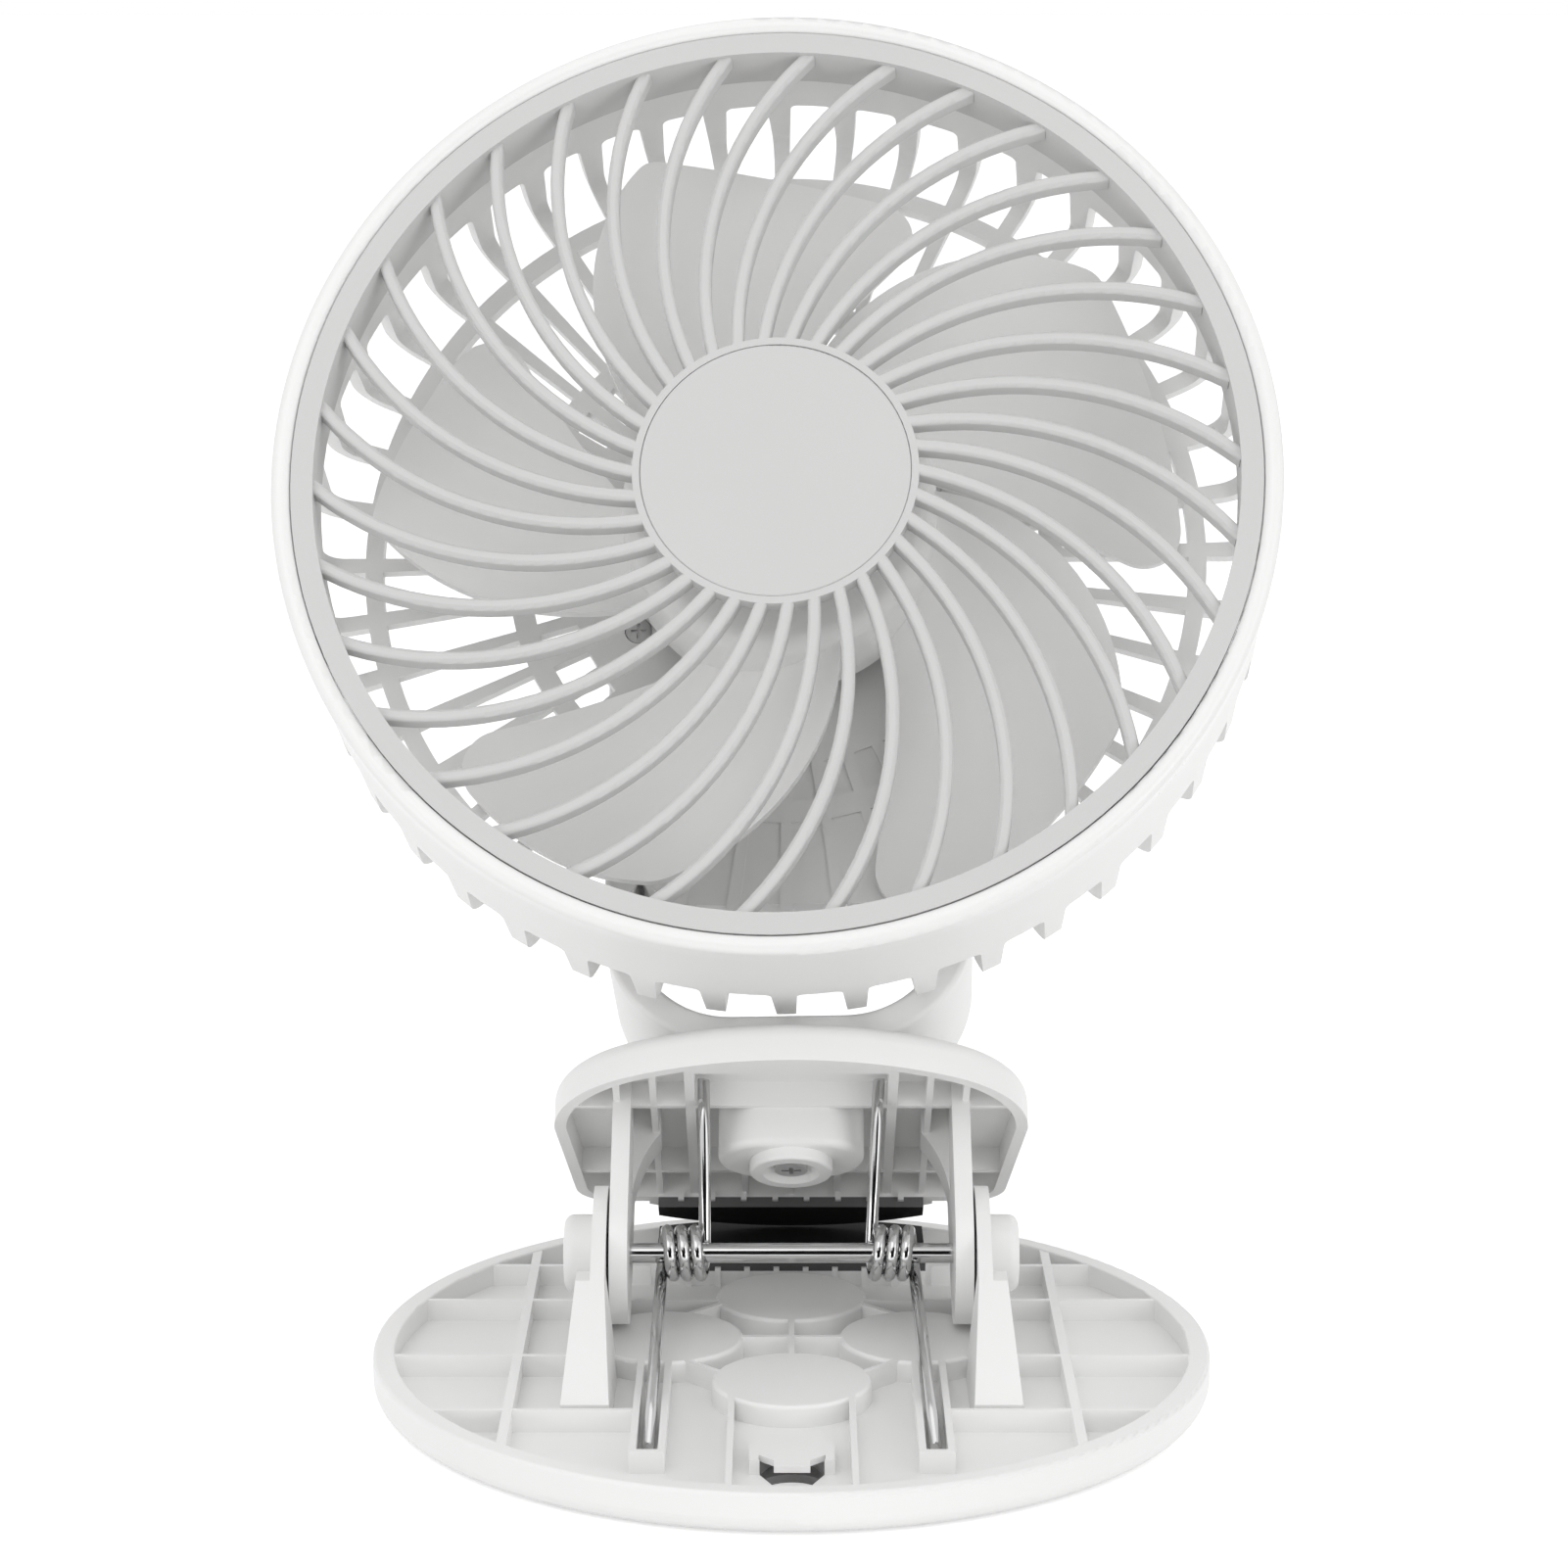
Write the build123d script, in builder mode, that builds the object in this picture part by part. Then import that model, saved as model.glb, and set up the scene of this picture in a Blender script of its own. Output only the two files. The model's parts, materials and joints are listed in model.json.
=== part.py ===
from build123d import *
import os
from math import acos, atan2, cos, degrees, pi, radians, sin, sqrt

# Clip-on table fan: a round base that is also the lower half of a spring clamp,
# a D-shaped clamp lid, a swivelling fork and a tilting fan head.
# Millimetres. The origin is the middle of the base's sole and +Z is up.

# ---------------------------------------------------------------- clearances
fit_gap = 0.05        # radial play of a pin or screw in its bore
seat_gap = 0.15       # between pieces that are assembled but do not move
body_gap = 0.3        # between pieces that move past each other

# ---------------------------------------------------------------- base plate
base_radius = 61.8
base_height = 6.5
foot_round = 2.5
rim_width = 3.2
rim_round = 0.6
tray_depth = 3.4
mat_thickness = 1.2
mat_proud = 0.4
mat_inset = 5.0
tray_floor = base_height - tray_depth
mat_radius = base_radius - mat_inset

rib_width = 0.9
rib_drop = 0.2              # the ribs end this far under the rim
long_rib_width = 1.4
cross_rib_places = (-29.0, -6.2, 19.0, 35.8)
long_rib_place = 40.2

weight_radius = 9.6
weight_thickness = 3.8
plateau_wall = 1.8
plateau_middle = 2.3
plateau_spacing = 18.65
plateau_roof = 1.15
plateau_round = 0.6
web_place = 18.3              # the short webs between neighbouring covers
web_length = 8.0
plateau_radius = weight_radius + seat_gap + plateau_wall
plateau_top = mat_thickness + weight_thickness + seat_gap + plateau_roof

keyhole_middle = -43.6
keyhole_half_width = 4.6
keyhole_half_length = 6.3
keyhole_corner = (1.9, 4.2)   # across and along
keyhole_wall = 1.3
keyhole_wall_front = -46.0
keyhole_bridge_top = 5.3
keyhole_bridge_thickness = 0.9
keyhole_bridge_front = -44.1
keyhole_tab_half_width = 2.5
keyhole_tab_front = -48.6
front_wall_place = 8.6

# ---------------------------------------------------------------- hinge of the clamp
pin_y = 7.5
pin_z = 17.5
pin_radius = 1.5
post_inner = 27.3
post_wall = 2.1
post_round = 10.0
post_foot_front = -27.2
post_foot_rear = 26.0
brace_top = 18.6              # the brace in front of each post, from the floor to here
brace_top_outer = 31.5
brace_foot_outer = 33.2
brace_foot_inner = 25.6
brace_rear = -4.5
hinge_boss_radius = 5.8
hinge_boss_reach = 33.9
hinge_boss_round = 1.5
cap_radius = 3.0
cap_thickness = 1.2
ear_thickness = 2.7
ear_play = 0.4
ear_round = 10.6
ear_outer = post_inner - ear_play
ear_inner = ear_outer - ear_thickness

# ---------------------------------------------------------------- clamp lid
lid_incline = 38.0            # the lid falls to the rear by this angle
lid_above_pin = 21.4          # from the hinge pin to the skirt's lower edge
lid_shift = 3.8               # the swivel axis lies this far down the slope from the pin
lid_half_width = 36.2
lid_front = 27.3
lid_front_radius = 48.0
lid_corner_radius = 24.0
lid_rear = 31.0
lid_rear_half_width = 33.6
lid_rear_round = 6.0
skirt_height = 6.5
skirt_wall = 1.8
lid_wall = 2.0
lid_round = 2.6
lid_rib_width = 1.0
lid_rib_inset = 0.6
lid_rib_rows = (-7.5, 19.5)
lid_rib_columns = (20.8, 26.3)
lid_rear_ribs = 3
lid_rear_rib_spacing = 7.3
lid_frame_half_width = 16.0
lid_frame_wall = 1.5
lid_frame_front = -20.5
lid_front_angle = 30.0
ear_front = 9.0
ear_rear = 15.0
gusset_front = 3.0
gusset_thickness = 7.0
gusset_drop = 14.0
gusset_reach = 20.0
gusset_hollow = 1.6
jaw_half_width = 22.6
jaw_wall = 2.2
jaw_length = 37.6
jaw_edge_radius = 50.0

lid_boss_width = 22.2
lid_boss_length = 14.4
lid_boss_drop = 5.4
lid_boss_corner = 7.0
lid_boss_round = 1.2
swivel_boss_radius = 6.35
swivel_boss_drop = 7.3
swivel_boss_round = 0.5
swivel_dish = 1.7             # the sunk cone round the screw's socket

# ---------------------------------------------------------------- jaw pads
pad_half_width = 21.1
upper_pad_thickness = 1.7
lower_pad_front = 35.5
lower_pad_thickness = 2.0
lower_pad_inset = 5.4
jaw_gap = 0.12
pad_key_width = 0.9
upper_key_spacing = 5.0
lower_key_spacing = 4.6
pad_key_height = 0.7
pad_key_depth = 0.8
pad_keys = 8

# ---------------------------------------------------------------- clamp springs
wire_radius = 0.8
coil_radius = 3.35            # to the middle of the wire
coil_pitch = 2.3
coil_turns = 3                # whole turns, besides the part turn between the legs
coil_middle = 15.6
lower_leg_tip = (20.0, -38.5)
upper_leg_tip = (13.2, -12.0)
channel_width = 5.0
channel_wall = 1.0
channel_end = -45.6
channel_rear = -7.0

# ---------------------------------------------------------------- swivel and fork
swivel_turn = -2.2            # the fork is turned by this much in the rest pose
swivel_disc_radius = 14.0
swivel_disc_thickness = 2.1
disc_play = 0.15
fork_wall = 4.6
fork_half_width = 28.3
fork_corner = 19.6
fork_depth = 26.0
fork_edge = 0.9
fork_rise = 14.0              # from the head's radius to the tilt axis above the skirt
screw_radius = 1.5
screw_head_radius = 2.5
screw_head_height = 1.9
screw_socket_radius = 2.65
swivel_socket_depth = 3.0
recess_span = 1.2             # of a screw's cross slot, as shares of its head's radius
recess_width = 0.25
swivel_nut_boss = 3.0
washer_thickness = 0.5

# ---------------------------------------------------------------- tilt
head_tilt = 8.2               # the head looks this far below square to the fork
head_reach = 62.8             # from the tilt axis to the trim ring's widest plane
tilt_screw_radius = 2.0
tilt_head_radius = 4.2
tilt_head_height = 2.0
tilt_washer_radius = 6.0
tilt_washer_thickness = 0.4
tilt_play = 0.1

# ---------------------------------------------------------------- fan head shell
head_radius = 75.0
shell_step = 0.5              # the shell is narrower than the trim ring by this much
shell_wall = 2.4
shell_front = -2.3
shell_band_end = -22.6
shell_rear = -38.0
shell_shoulder = 5.5
shell_ribs = 44
slot_front_width = 6.95
slot_spread = 1.7
slot_corner = 1.2
slot_inner_width = 3.4
back_ring_inset = 8.7         # from the shell's outside to the ring that ties its ribs at the back
back_ring_width = 2.8
shell_ring_outer = 43.4
shell_ring_inner = 40.0
inner_slot_start = 34.0
inner_rib_width = 1.9

trim_width = 2.9
trim_front = 1.5
trim_round = 1.3

# ---------------------------------------------------------------- front grille
grille_ribs = 34
grille_front = 0.9
hoop_width = 3.3
hoop_wall = 1.5
hoop_depth = 9.0
grille_rib_width = 1.9
grille_rib_depth = 3.0
grille_rib_round = 0.6
rib_inner_angle = 126.6
rib_middle_angle = 110.5
rib_outer_angle = 95.9
rib_middle_radius = 47.2
rib_bury = 0.5
trim_gap = 0.1
hoop_rim_depth = 1.5
snap_hooks = 6
snap_start = 20.0
snap_width = 5.0
snap_height = 1.5
hub_disc_radius = 21.3
hub_disc_front = 0.0
hub_disc_depth = 2.8
cap_rim = 1.1
cap_depth = 1.2
cap_round = 0.3

# ---------------------------------------------------------------- rotor
blades = 5
tip_gap = 10.2                # between the blades' tips and the shell's wall
blade_plane = -25.2
blade_thickness = 1.6
blade_curve = 78.0            # radius of the hollow that faces forward
blade_corner = 6.0
blade_turn = 106.7            # direction of the top blade
blade_span = 96.0
blade_front_edge = (42.0, 25.2, 2.4)      # its angles at the hub, half way and the tip
blade_rear_edge = (-10.2, -31.9, -41.2)
blade_middle = 42.0
blade_sections = ((12.0, 3.0, 32.0), (24.0, 2.0, 28.0), (42.0, -1.0, 27.0), (66.0, -12.0, 35.0))
rotor_hub_radius = 24.0
rotor_hub_front = -12.5
rotor_hub_length = 18.0
rotor_hub_wall = 1.6
rotor_hub_round = 3.0

# ---------------------------------------------------------------- motor
shaft_radius = 1.5
shaft_boss_radius = 4.0
shaft_boss_length = 2.2
magnet_shift = 0.7
board_shoulder_height = 1.8
clip_groove = 0.4
magnet_thickness = 2.6
magnet_length = 13.0
air_gap = 0.5
stator_length = 8.0
stator_poles = 4
stator_pole_width = 5.0
stator_shoe = 2.0
stator_shoe_angle = 64.0
winding_thickness = 2.2
bearing_tube_radius = 4.6
bearing_tube_bore = 3.2
bearing_flange_radius = 9.0
bearing_flange_thickness = 1.6
bush_length = 4.0
thrust_cap_thickness = 1.2
board_shoulder_radius = 6.6
stator_shoulder_radius = 5.6
motor_board_radius = 17.5
motor_board_thickness = 1.2
stator_hub_radius = 8.0
clip_radius = 2.6
clip_thickness = 0.6

# ---------------------------------------------------------------- pod behind the head
pod_half_width = 23.1
pod_top = 24.0
pod_bottom = -56.4
pod_corner = 9.5
pod_wall = 2.0
pod_depth = 34.0
pod_round = 3.0
pod_flange_radius = 31.0
pod_flange_depth = 8.5
panel_relief = 0.5
pod_screw_place = (22.8, 11.7)
pod_screw_radius = 1.1
pod_screw_head = 2.0
pod_screw_length = 7.0
pod_screw_head_height = 1.2
pod_boss_radius = 3.0

pad_thickness = 3.2
pad_width = 30.0
pad_length = 50.0
tilt_boss_radius = 5.0
board_screw_radius = 1.0
board_screw_length = 3.5
board_screw_head = 1.8
board_screw_head_height = 1.2
cell_radius = 9.1
cell_length = 65.0
cell_play = 0.25
holder_wall = 0.9
board_width = 34.0
board_length = 55.0
board_place = -18.5
board_thickness = 1.6
board_standoff = 4.4
board_post_radius = 2.4
board_post_place = (13.5, 24.0)
holder_bottom = -51.3
holder_corner = 2.0
holder_post_radius = 1.3
holder_post_place = (16.0, 1.5)
button_radius = 5.0
button_flange = 1.2
button_flange_thickness = 0.8
button_proud = 1.2
button_place = 4.0
button_travel = 0.7
button_round = 0.5
switch_size = 6.0
switch_plunger = 0.9
switch_plunger_radius = 1.75
socket_width = 9.0
socket_height = 3.4
socket_place = -40.0
socket_sunk = 0.3
socket_shell = 0.4
socket_depth = 5.0
socket_tongue_width = 6.6

# ================================================================ frames
shell_radius = head_radius - shell_step
blade_tip = shell_radius - shell_wall - tip_gap
fork_reach = head_radius + fork_rise
slope = radians(lid_incline)
LID_UP = Vector(0, sin(slope), cos(slope))
LID_REAR = Vector(0, cos(slope), -sin(slope))
PIN = Vector(0, pin_y, pin_z)
LID = Plane(origin=PIN + LID_UP * lid_above_pin + LID_REAR * lid_shift, x_dir=(1, 0, 0), z_dir=LID_UP)
LID_SIDE = Plane(origin=LID.origin, x_dir=LID_REAR, z_dir=(1, 0, 0))
turn = radians(swivel_turn)
FORK = Plane(origin=LID.origin, x_dir=LID.x_dir * cos(turn) + LID.y_dir * sin(turn), z_dir=LID.z_dir)
FORK_FRONT = Plane(origin=FORK.origin, x_dir=FORK.x_dir, z_dir=FORK.y_dir * -1)
TILT = FORK.offset(fork_reach)
TILT_SIDE = Plane(origin=TILT.origin, x_dir=FORK.y_dir, z_dir=FORK.x_dir)
sink = radians(head_tilt)
HEAD_OUT = FORK.y_dir * -cos(sink) - FORK.z_dir * sin(sink)
HEAD = Plane(origin=TILT.origin + HEAD_OUT * head_reach, x_dir=FORK.x_dir, z_dir=HEAD_OUT)
HEAD_PROFILE = Plane(origin=HEAD.origin, x_dir=HEAD.x_dir, z_dir=HEAD.y_dir * -1)
HEAD_AXIS = Axis(HEAD.origin, HEAD.z_dir)


def finish(builder, name):
    """Label a finished piece and write it."""
    builder.part.label = name
    export_step(builder.part, f"parts/{name}.step")


def polar(radius, angle):
    return (radius * cos(radians(angle)), radius * sin(radians(angle)))


def both_sides(x, y=0):
    return ((-x, y), (x, y))


def cross_recess(head_radius):
    """The cross slot of a screw, sized from its head."""
    with BuildSketch() as cross:
        Rectangle(head_radius * recess_span, head_radius * recess_width)
        Rectangle(head_radius * recess_width, head_radius * recess_span)
    return cross.sketch


os.makedirs("parts", exist_ok=True)


# ================================================================ base
pin_place = (pin_y, pin_z)
jaw_seat = LID.origin + LID_REAR * jaw_length - LID_UP * upper_pad_thickness
lower_pad_top = jaw_seat.Z - jaw_gap
lower_pad_floor = lower_pad_top - lower_pad_thickness
lower_pad_radius = base_radius - lower_pad_inset

rib_top = base_height - rib_drop

with BuildPart() as hinge_post:
    with BuildSketch(Plane.YZ.offset(brace_foot_inner)) as post_profile:
        with Locations(pin_place):
            Circle(post_round)
        with Locations(((post_foot_front + post_foot_rear) / 2, (tray_floor + rib_top) / 2)):
            Rectangle(post_foot_rear - post_foot_front, rib_top - tray_floor)
        make_hull()
    extrude(amount=brace_foot_outer - brace_foot_inner)
    with BuildSketch(Plane.XZ.offset(-brace_rear)):
        Polygon(
            (brace_foot_inner, tray_floor),
            (brace_foot_outer, tray_floor),
            (brace_top_outer, brace_top),
            (post_inner, brace_top),
            align=None,
        )
    extrude(amount=base_radius, mode=Mode.INTERSECT)
    with BuildSketch(Plane.YZ.offset(post_inner)):
        add(post_profile.sketch_local)
    extrude(amount=post_wall)
    with BuildSketch(Plane.YZ.offset(post_inner)):
        with Locations(pin_place):
            Circle(hinge_boss_radius)
    extrude(amount=hinge_boss_reach - post_inner)
    fillet(hinge_post.faces().sort_by(Axis.X)[-1].edges(), hinge_boss_round)
    with BuildSketch(Plane.YZ.offset(post_inner)):
        with Locations(pin_place):
            Circle(pin_radius + fit_gap)
    extrude(amount=hinge_boss_reach - post_inner, mode=Mode.SUBTRACT)
    with BuildSketch(Plane.YZ.offset(hinge_boss_reach)):
        with Locations(pin_place):
            Circle(cap_radius + fit_gap)
    extrude(amount=-cap_thickness, mode=Mode.SUBTRACT)

with BuildPart() as leg_channel:
    channel_length = channel_rear - channel_end
    with BuildSketch(Plane.XY.offset(tray_floor)):
        with Locations((lower_leg_tip[0], (channel_rear + channel_end) / 2)):
            Rectangle(channel_width, channel_length)
        with Locations((lower_leg_tip[0], (channel_rear + channel_end) / 2 + channel_wall)):
            Rectangle(channel_width - 2 * channel_wall, channel_length, mode=Mode.SUBTRACT)
    extrude(amount=rib_top - tray_floor)


def keyhole_outline(wall):
    """The eight-sided hanging hole, grown by wall."""
    across = keyhole_half_width + wall
    along = keyhole_half_length + wall
    with BuildSketch() as outline:
        Rectangle(2 * across, 2 * along)
        for sx in (-1, 1):
            for sy in (-1, 1):
                with BuildSketch(mode=Mode.SUBTRACT):
                    Polygon(
                        (sx * across, sy * along),
                        (sx * (across - keyhole_corner[0]), sy * along),
                        (sx * across, sy * (along - keyhole_corner[1])),
                        align=None,
                    )
    return outline.sketch


with BuildPart() as weight_cover:
    with BuildSketch(Plane.XY.offset(tray_floor)):
        Circle(plateau_radius)
    extrude(amount=plateau_top - tray_floor)
    fillet(weight_cover.edges().group_by(Axis.Z)[-1], plateau_round)

with BuildPart() as base_plate:
    with BuildSketch(Plane.XY.offset(mat_proud)):
        Circle(base_radius)
    extrude(amount=base_height - mat_proud)
    fillet(base_plate.edges().group_by(Axis.Z)[0], foot_round)
    fillet(base_plate.edges().group_by(Axis.Z)[-1], rim_round)
    with BuildSketch(Plane.XY.offset(tray_floor)):
        Circle(base_radius - rim_width)
    extrude(amount=tray_depth, mode=Mode.SUBTRACT)
    top_edges = base_plate.edges().filter_by(GeomType.CIRCLE).group_by(Axis.Z)[-1]
    fillet(top_edges.sort_by(SortBy.RADIUS)[0], rim_round / 2)

    # ribs across and along the tray
    web_reach = plateau_spacing - plateau_radius + plateau_wall / 2
    wall_rear = plateau_middle - plateau_spacing - plateau_radius / 2
    wall_front = rim_width / 2 - base_radius
    with BuildSketch(Plane.XY.offset(tray_floor)):
        for place in cross_rib_places:
            with Locations((0, place)):
                Rectangle(2 * base_radius, rib_width)
        with Locations((0, cross_rib_places[-1])):
            Rectangle(2 * (pad_half_width + rib_width), 2 * rib_width, mode=Mode.SUBTRACT)
        with Locations(*both_sides(lower_leg_tip[0], (channel_rear + channel_end) / 2)):
            Rectangle(channel_width, channel_rear - channel_end, mode=Mode.SUBTRACT)
        with Locations((0, plateau_middle)):
            Rectangle(2 * web_place, 2 * web_place, rotation=45, mode=Mode.SUBTRACT)
            Rectangle(2 * web_reach, rib_width)
            Rectangle(rib_width, 2 * web_reach)
            with PolarLocations(web_place, 4, start_angle=45):
                Rectangle(rib_width, web_length)
        with Locations((0, (wall_front + keyhole_tab_front) / 2)):
            Rectangle(2 * lower_leg_tip[0], keyhole_tab_front - wall_front, mode=Mode.SUBTRACT)
        with Locations((0, (wall_front + cross_rib_places[0] + rib_width) / 2)):
            Rectangle(
                2 * (lower_leg_tip[0] - channel_width / 2),
                cross_rib_places[0] + rib_width - wall_front,
                mode=Mode.SUBTRACT,
            )
        with Locations(*both_sides(long_rib_place)):
            Rectangle(long_rib_width, 2 * base_radius)
        with Locations(*both_sides(front_wall_place, (wall_rear + wall_front) / 2)):
            Rectangle(rib_width, wall_rear - wall_front)
        Circle(base_radius - rim_width / 2, mode=Mode.INTERSECT)
    extrude(amount=rib_top - tray_floor)

    # four round covers over the weights
    with Locations((0, plateau_middle)):
        with PolarLocations(plateau_spacing, 4):
            add(weight_cover.part)

    # seat of the lower pad
    with BuildSketch(Plane.XY.offset(tray_floor)):
        Circle(lower_pad_radius)
        with Locations((0, lower_pad_front + base_radius / 2)):
            Rectangle(2 * pad_half_width, base_radius, mode=Mode.INTERSECT)
    extrude(amount=lower_pad_floor - tray_floor)
    with BuildSketch(Plane.XY.offset(tray_floor)):
        with Locations((0, lower_pad_front - pad_key_depth / 2)):
            with GridLocations(lower_key_spacing, 1, pad_keys, 1):
                Rectangle(pad_key_width, pad_key_depth)
    extrude(amount=lower_pad_floor + pad_key_height - tray_floor)

    add(hinge_post.part)
    add(mirror(hinge_post.part, about=Plane.YZ, mode=Mode.PRIVATE))
    add(leg_channel.part)
    add(mirror(leg_channel.part, about=Plane.YZ, mode=Mode.PRIVATE))

    # wall round the rear of the hanging hole
    with BuildSketch(Plane.XY.offset(tray_floor)):
        with Locations((0, keyhole_middle)):
            add(keyhole_outline(keyhole_wall))
        with Locations((0, keyhole_wall_front / 2)):
            Rectangle(2 * front_wall_place, -keyhole_wall_front, mode=Mode.INTERSECT)
    extrude(amount=keyhole_bridge_top - tray_floor)

    # recess of the mat, pockets of the weights and the hanging hole
    with BuildSketch(Plane.XY.offset(mat_thickness)):
        Circle(mat_radius + seat_gap)
    extrude(amount=-mat_thickness, mode=Mode.SUBTRACT)
    with BuildSketch(Plane.XY.offset(mat_thickness)):
        with Locations((0, plateau_middle)), PolarLocations(plateau_spacing, 4):
            Circle(weight_radius + seat_gap)
    extrude(amount=weight_thickness + seat_gap, mode=Mode.SUBTRACT)
    with BuildSketch(Plane.XY.offset(mat_thickness)):
        with Locations((0, keyhole_middle)):
            add(keyhole_outline(0))
    extrude(amount=base_height, mode=Mode.SUBTRACT)

    # bridge over the rear of the hanging hole, with its tab
    with BuildSketch(Plane.XY.offset(keyhole_bridge_top - keyhole_bridge_thickness)):
        with Locations((0, keyhole_middle)):
            add(keyhole_outline(keyhole_wall / 2))
        with BuildSketch(mode=Mode.INTERSECT):
            tab_root = keyhole_bridge_front - keyhole_corner[1] / 2
            Polygon(
                (-base_radius, 0),
                (-base_radius, keyhole_bridge_front),
                (-keyhole_half_width, keyhole_bridge_front),
                (-keyhole_tab_half_width, tab_root),
                (-keyhole_tab_half_width, keyhole_tab_front),
                (keyhole_tab_half_width, keyhole_tab_front),
                (keyhole_tab_half_width, tab_root),
                (keyhole_half_width, keyhole_bridge_front),
                (base_radius, keyhole_bridge_front),
                (base_radius, 0),
                align=None,
            )
    extrude(amount=keyhole_bridge_thickness)
finish(base_plate, "base_plate")

with BuildPart() as base_mat:
    with BuildSketch():
        Circle(mat_radius)
        with Locations((0, keyhole_middle - keyhole_corner[0])):
            Circle(keyhole_half_width, mode=Mode.SUBTRACT)
    extrude(amount=mat_thickness)
finish(base_mat, "base_mat")

with BuildPart() as base_weights:
    with BuildSketch(Plane.XY.offset(mat_thickness)):
        with Locations((0, plateau_middle)), PolarLocations(plateau_spacing, 4):
            Circle(weight_radius)
    extrude(amount=weight_thickness)
finish(base_weights, "base_weights")

with BuildPart() as lower_jaw_pad:
    with BuildSketch(Plane.XY.offset(lower_pad_floor)):
        Circle(lower_pad_radius)
        with Locations((0, lower_pad_front + base_radius / 2)):
            Rectangle(2 * pad_half_width, base_radius, mode=Mode.INTERSECT)
    extrude(amount=lower_pad_thickness)
finish(lower_jaw_pad, "lower_jaw_pad")

pin_end = hinge_boss_reach - cap_thickness - seat_gap
with BuildPart() as hinge_pin:
    with BuildSketch(Plane.YZ):
        with Locations(pin_place):
            Circle(pin_radius)
    extrude(amount=pin_end, both=True)
finish(hinge_pin, "hinge_pin")

with BuildPart() as pin_caps:
    with BuildSketch(Plane.YZ.offset(hinge_boss_reach)):
        with Locations(pin_place):
            Circle(cap_radius)
    extrude(amount=-cap_thickness)
    mirror(about=Plane.YZ)
finish(pin_caps, "pin_caps")

# ================================================================ clamp lid


def lid_outline(inset):
    """The lid seen along its thickness: a broad round front and a narrower rear."""
    front_x = lid_front_radius * sin(radians(lid_front_angle))
    front_drop = lid_front_radius * (1 - cos(radians(lid_front_angle)))
    front_y = front_drop - lid_front
    shoulder_y = front_y + lid_corner_radius * cos(radians(lid_front_angle))
    with BuildSketch() as outline:
        with BuildLine():
            nose = ThreePointArc((-front_x, front_y), (0, -lid_front), (front_x, front_y))
            right = TangentArc(nose @ 1, (lid_half_width, shoulder_y), tangent=nose % 1)
            left = TangentArc(nose @ 0, (-lid_half_width, shoulder_y), tangent=(nose % 0) * -1)
            FilletPolyline(
                right @ 1,
                (lid_rear_half_width, lid_rear),
                (-lid_rear_half_width, lid_rear),
                left @ 1,
                radius=lid_rear_round,
            )
        make_face()
        if inset > 0:
            offset(amount=-inset, mode=Mode.REPLACE)
    return outline.sketch


lid_under = skirt_height - lid_wall
pin_in_lid = (-lid_shift, -lid_above_pin)

with BuildPart() as lid_ear:
    with BuildSketch(LID_SIDE.offset(ear_inner)):
        with Locations(pin_in_lid):
            Circle(ear_round)
        with Locations(((ear_rear - ear_front) / 2, lid_under / 2)):
            Rectangle(ear_rear + ear_front, lid_under)
        make_hull()
    extrude(amount=ear_thickness)
    with BuildSketch(LID_SIDE.offset(ear_inner)):
        with Locations(pin_in_lid):
            Circle(pin_radius + fit_gap)
    extrude(amount=ear_thickness, mode=Mode.SUBTRACT)

gusset_origin = LID.origin + LID_REAR * (gusset_front + gusset_thickness / 2)
with BuildPart() as ear_gusset:
    with BuildSketch(Plane(origin=gusset_origin, x_dir=(1, 0, 0), z_dir=LID_REAR * -1)):
        with BuildLine():
            Polyline(
                (gusset_reach, lid_rib_inset),
                (gusset_reach, lid_under),
                (ear_inner + ear_thickness / 2, lid_under),
                (ear_inner + ear_thickness / 2, -gusset_drop),
                (ear_inner, -gusset_drop),
            )
            SagittaArc((ear_inner, -gusset_drop), (gusset_reach, lid_rib_inset), -gusset_hollow)
        make_face()
    extrude(amount=gusset_thickness / 2, both=True)

upper_pad_front = lid_rear - skirt_wall

with BuildPart() as fork_boss:
    with BuildSketch(LID.offset(-lid_boss_drop)):
        RectangleRounded(lid_boss_width, lid_boss_length, lid_boss_corner)
    extrude(amount=lid_boss_drop + lid_under + lid_wall / 2)
    fillet(fork_boss.edges().group_by(Axis(LID.origin, LID.z_dir))[0], lid_boss_round)
    with BuildSketch(LID.offset(-swivel_boss_drop)):
        Circle(swivel_boss_radius)
    extrude(amount=swivel_boss_drop)
    fillet(fork_boss.edges().group_by(Axis(LID.origin, LID.z_dir))[0], swivel_boss_round)
    with BuildSketch(LID.offset(-swivel_boss_drop)):
        Circle(screw_socket_radius + swivel_dish)
    extrude(amount=swivel_dish, taper=45, mode=Mode.SUBTRACT)

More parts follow.
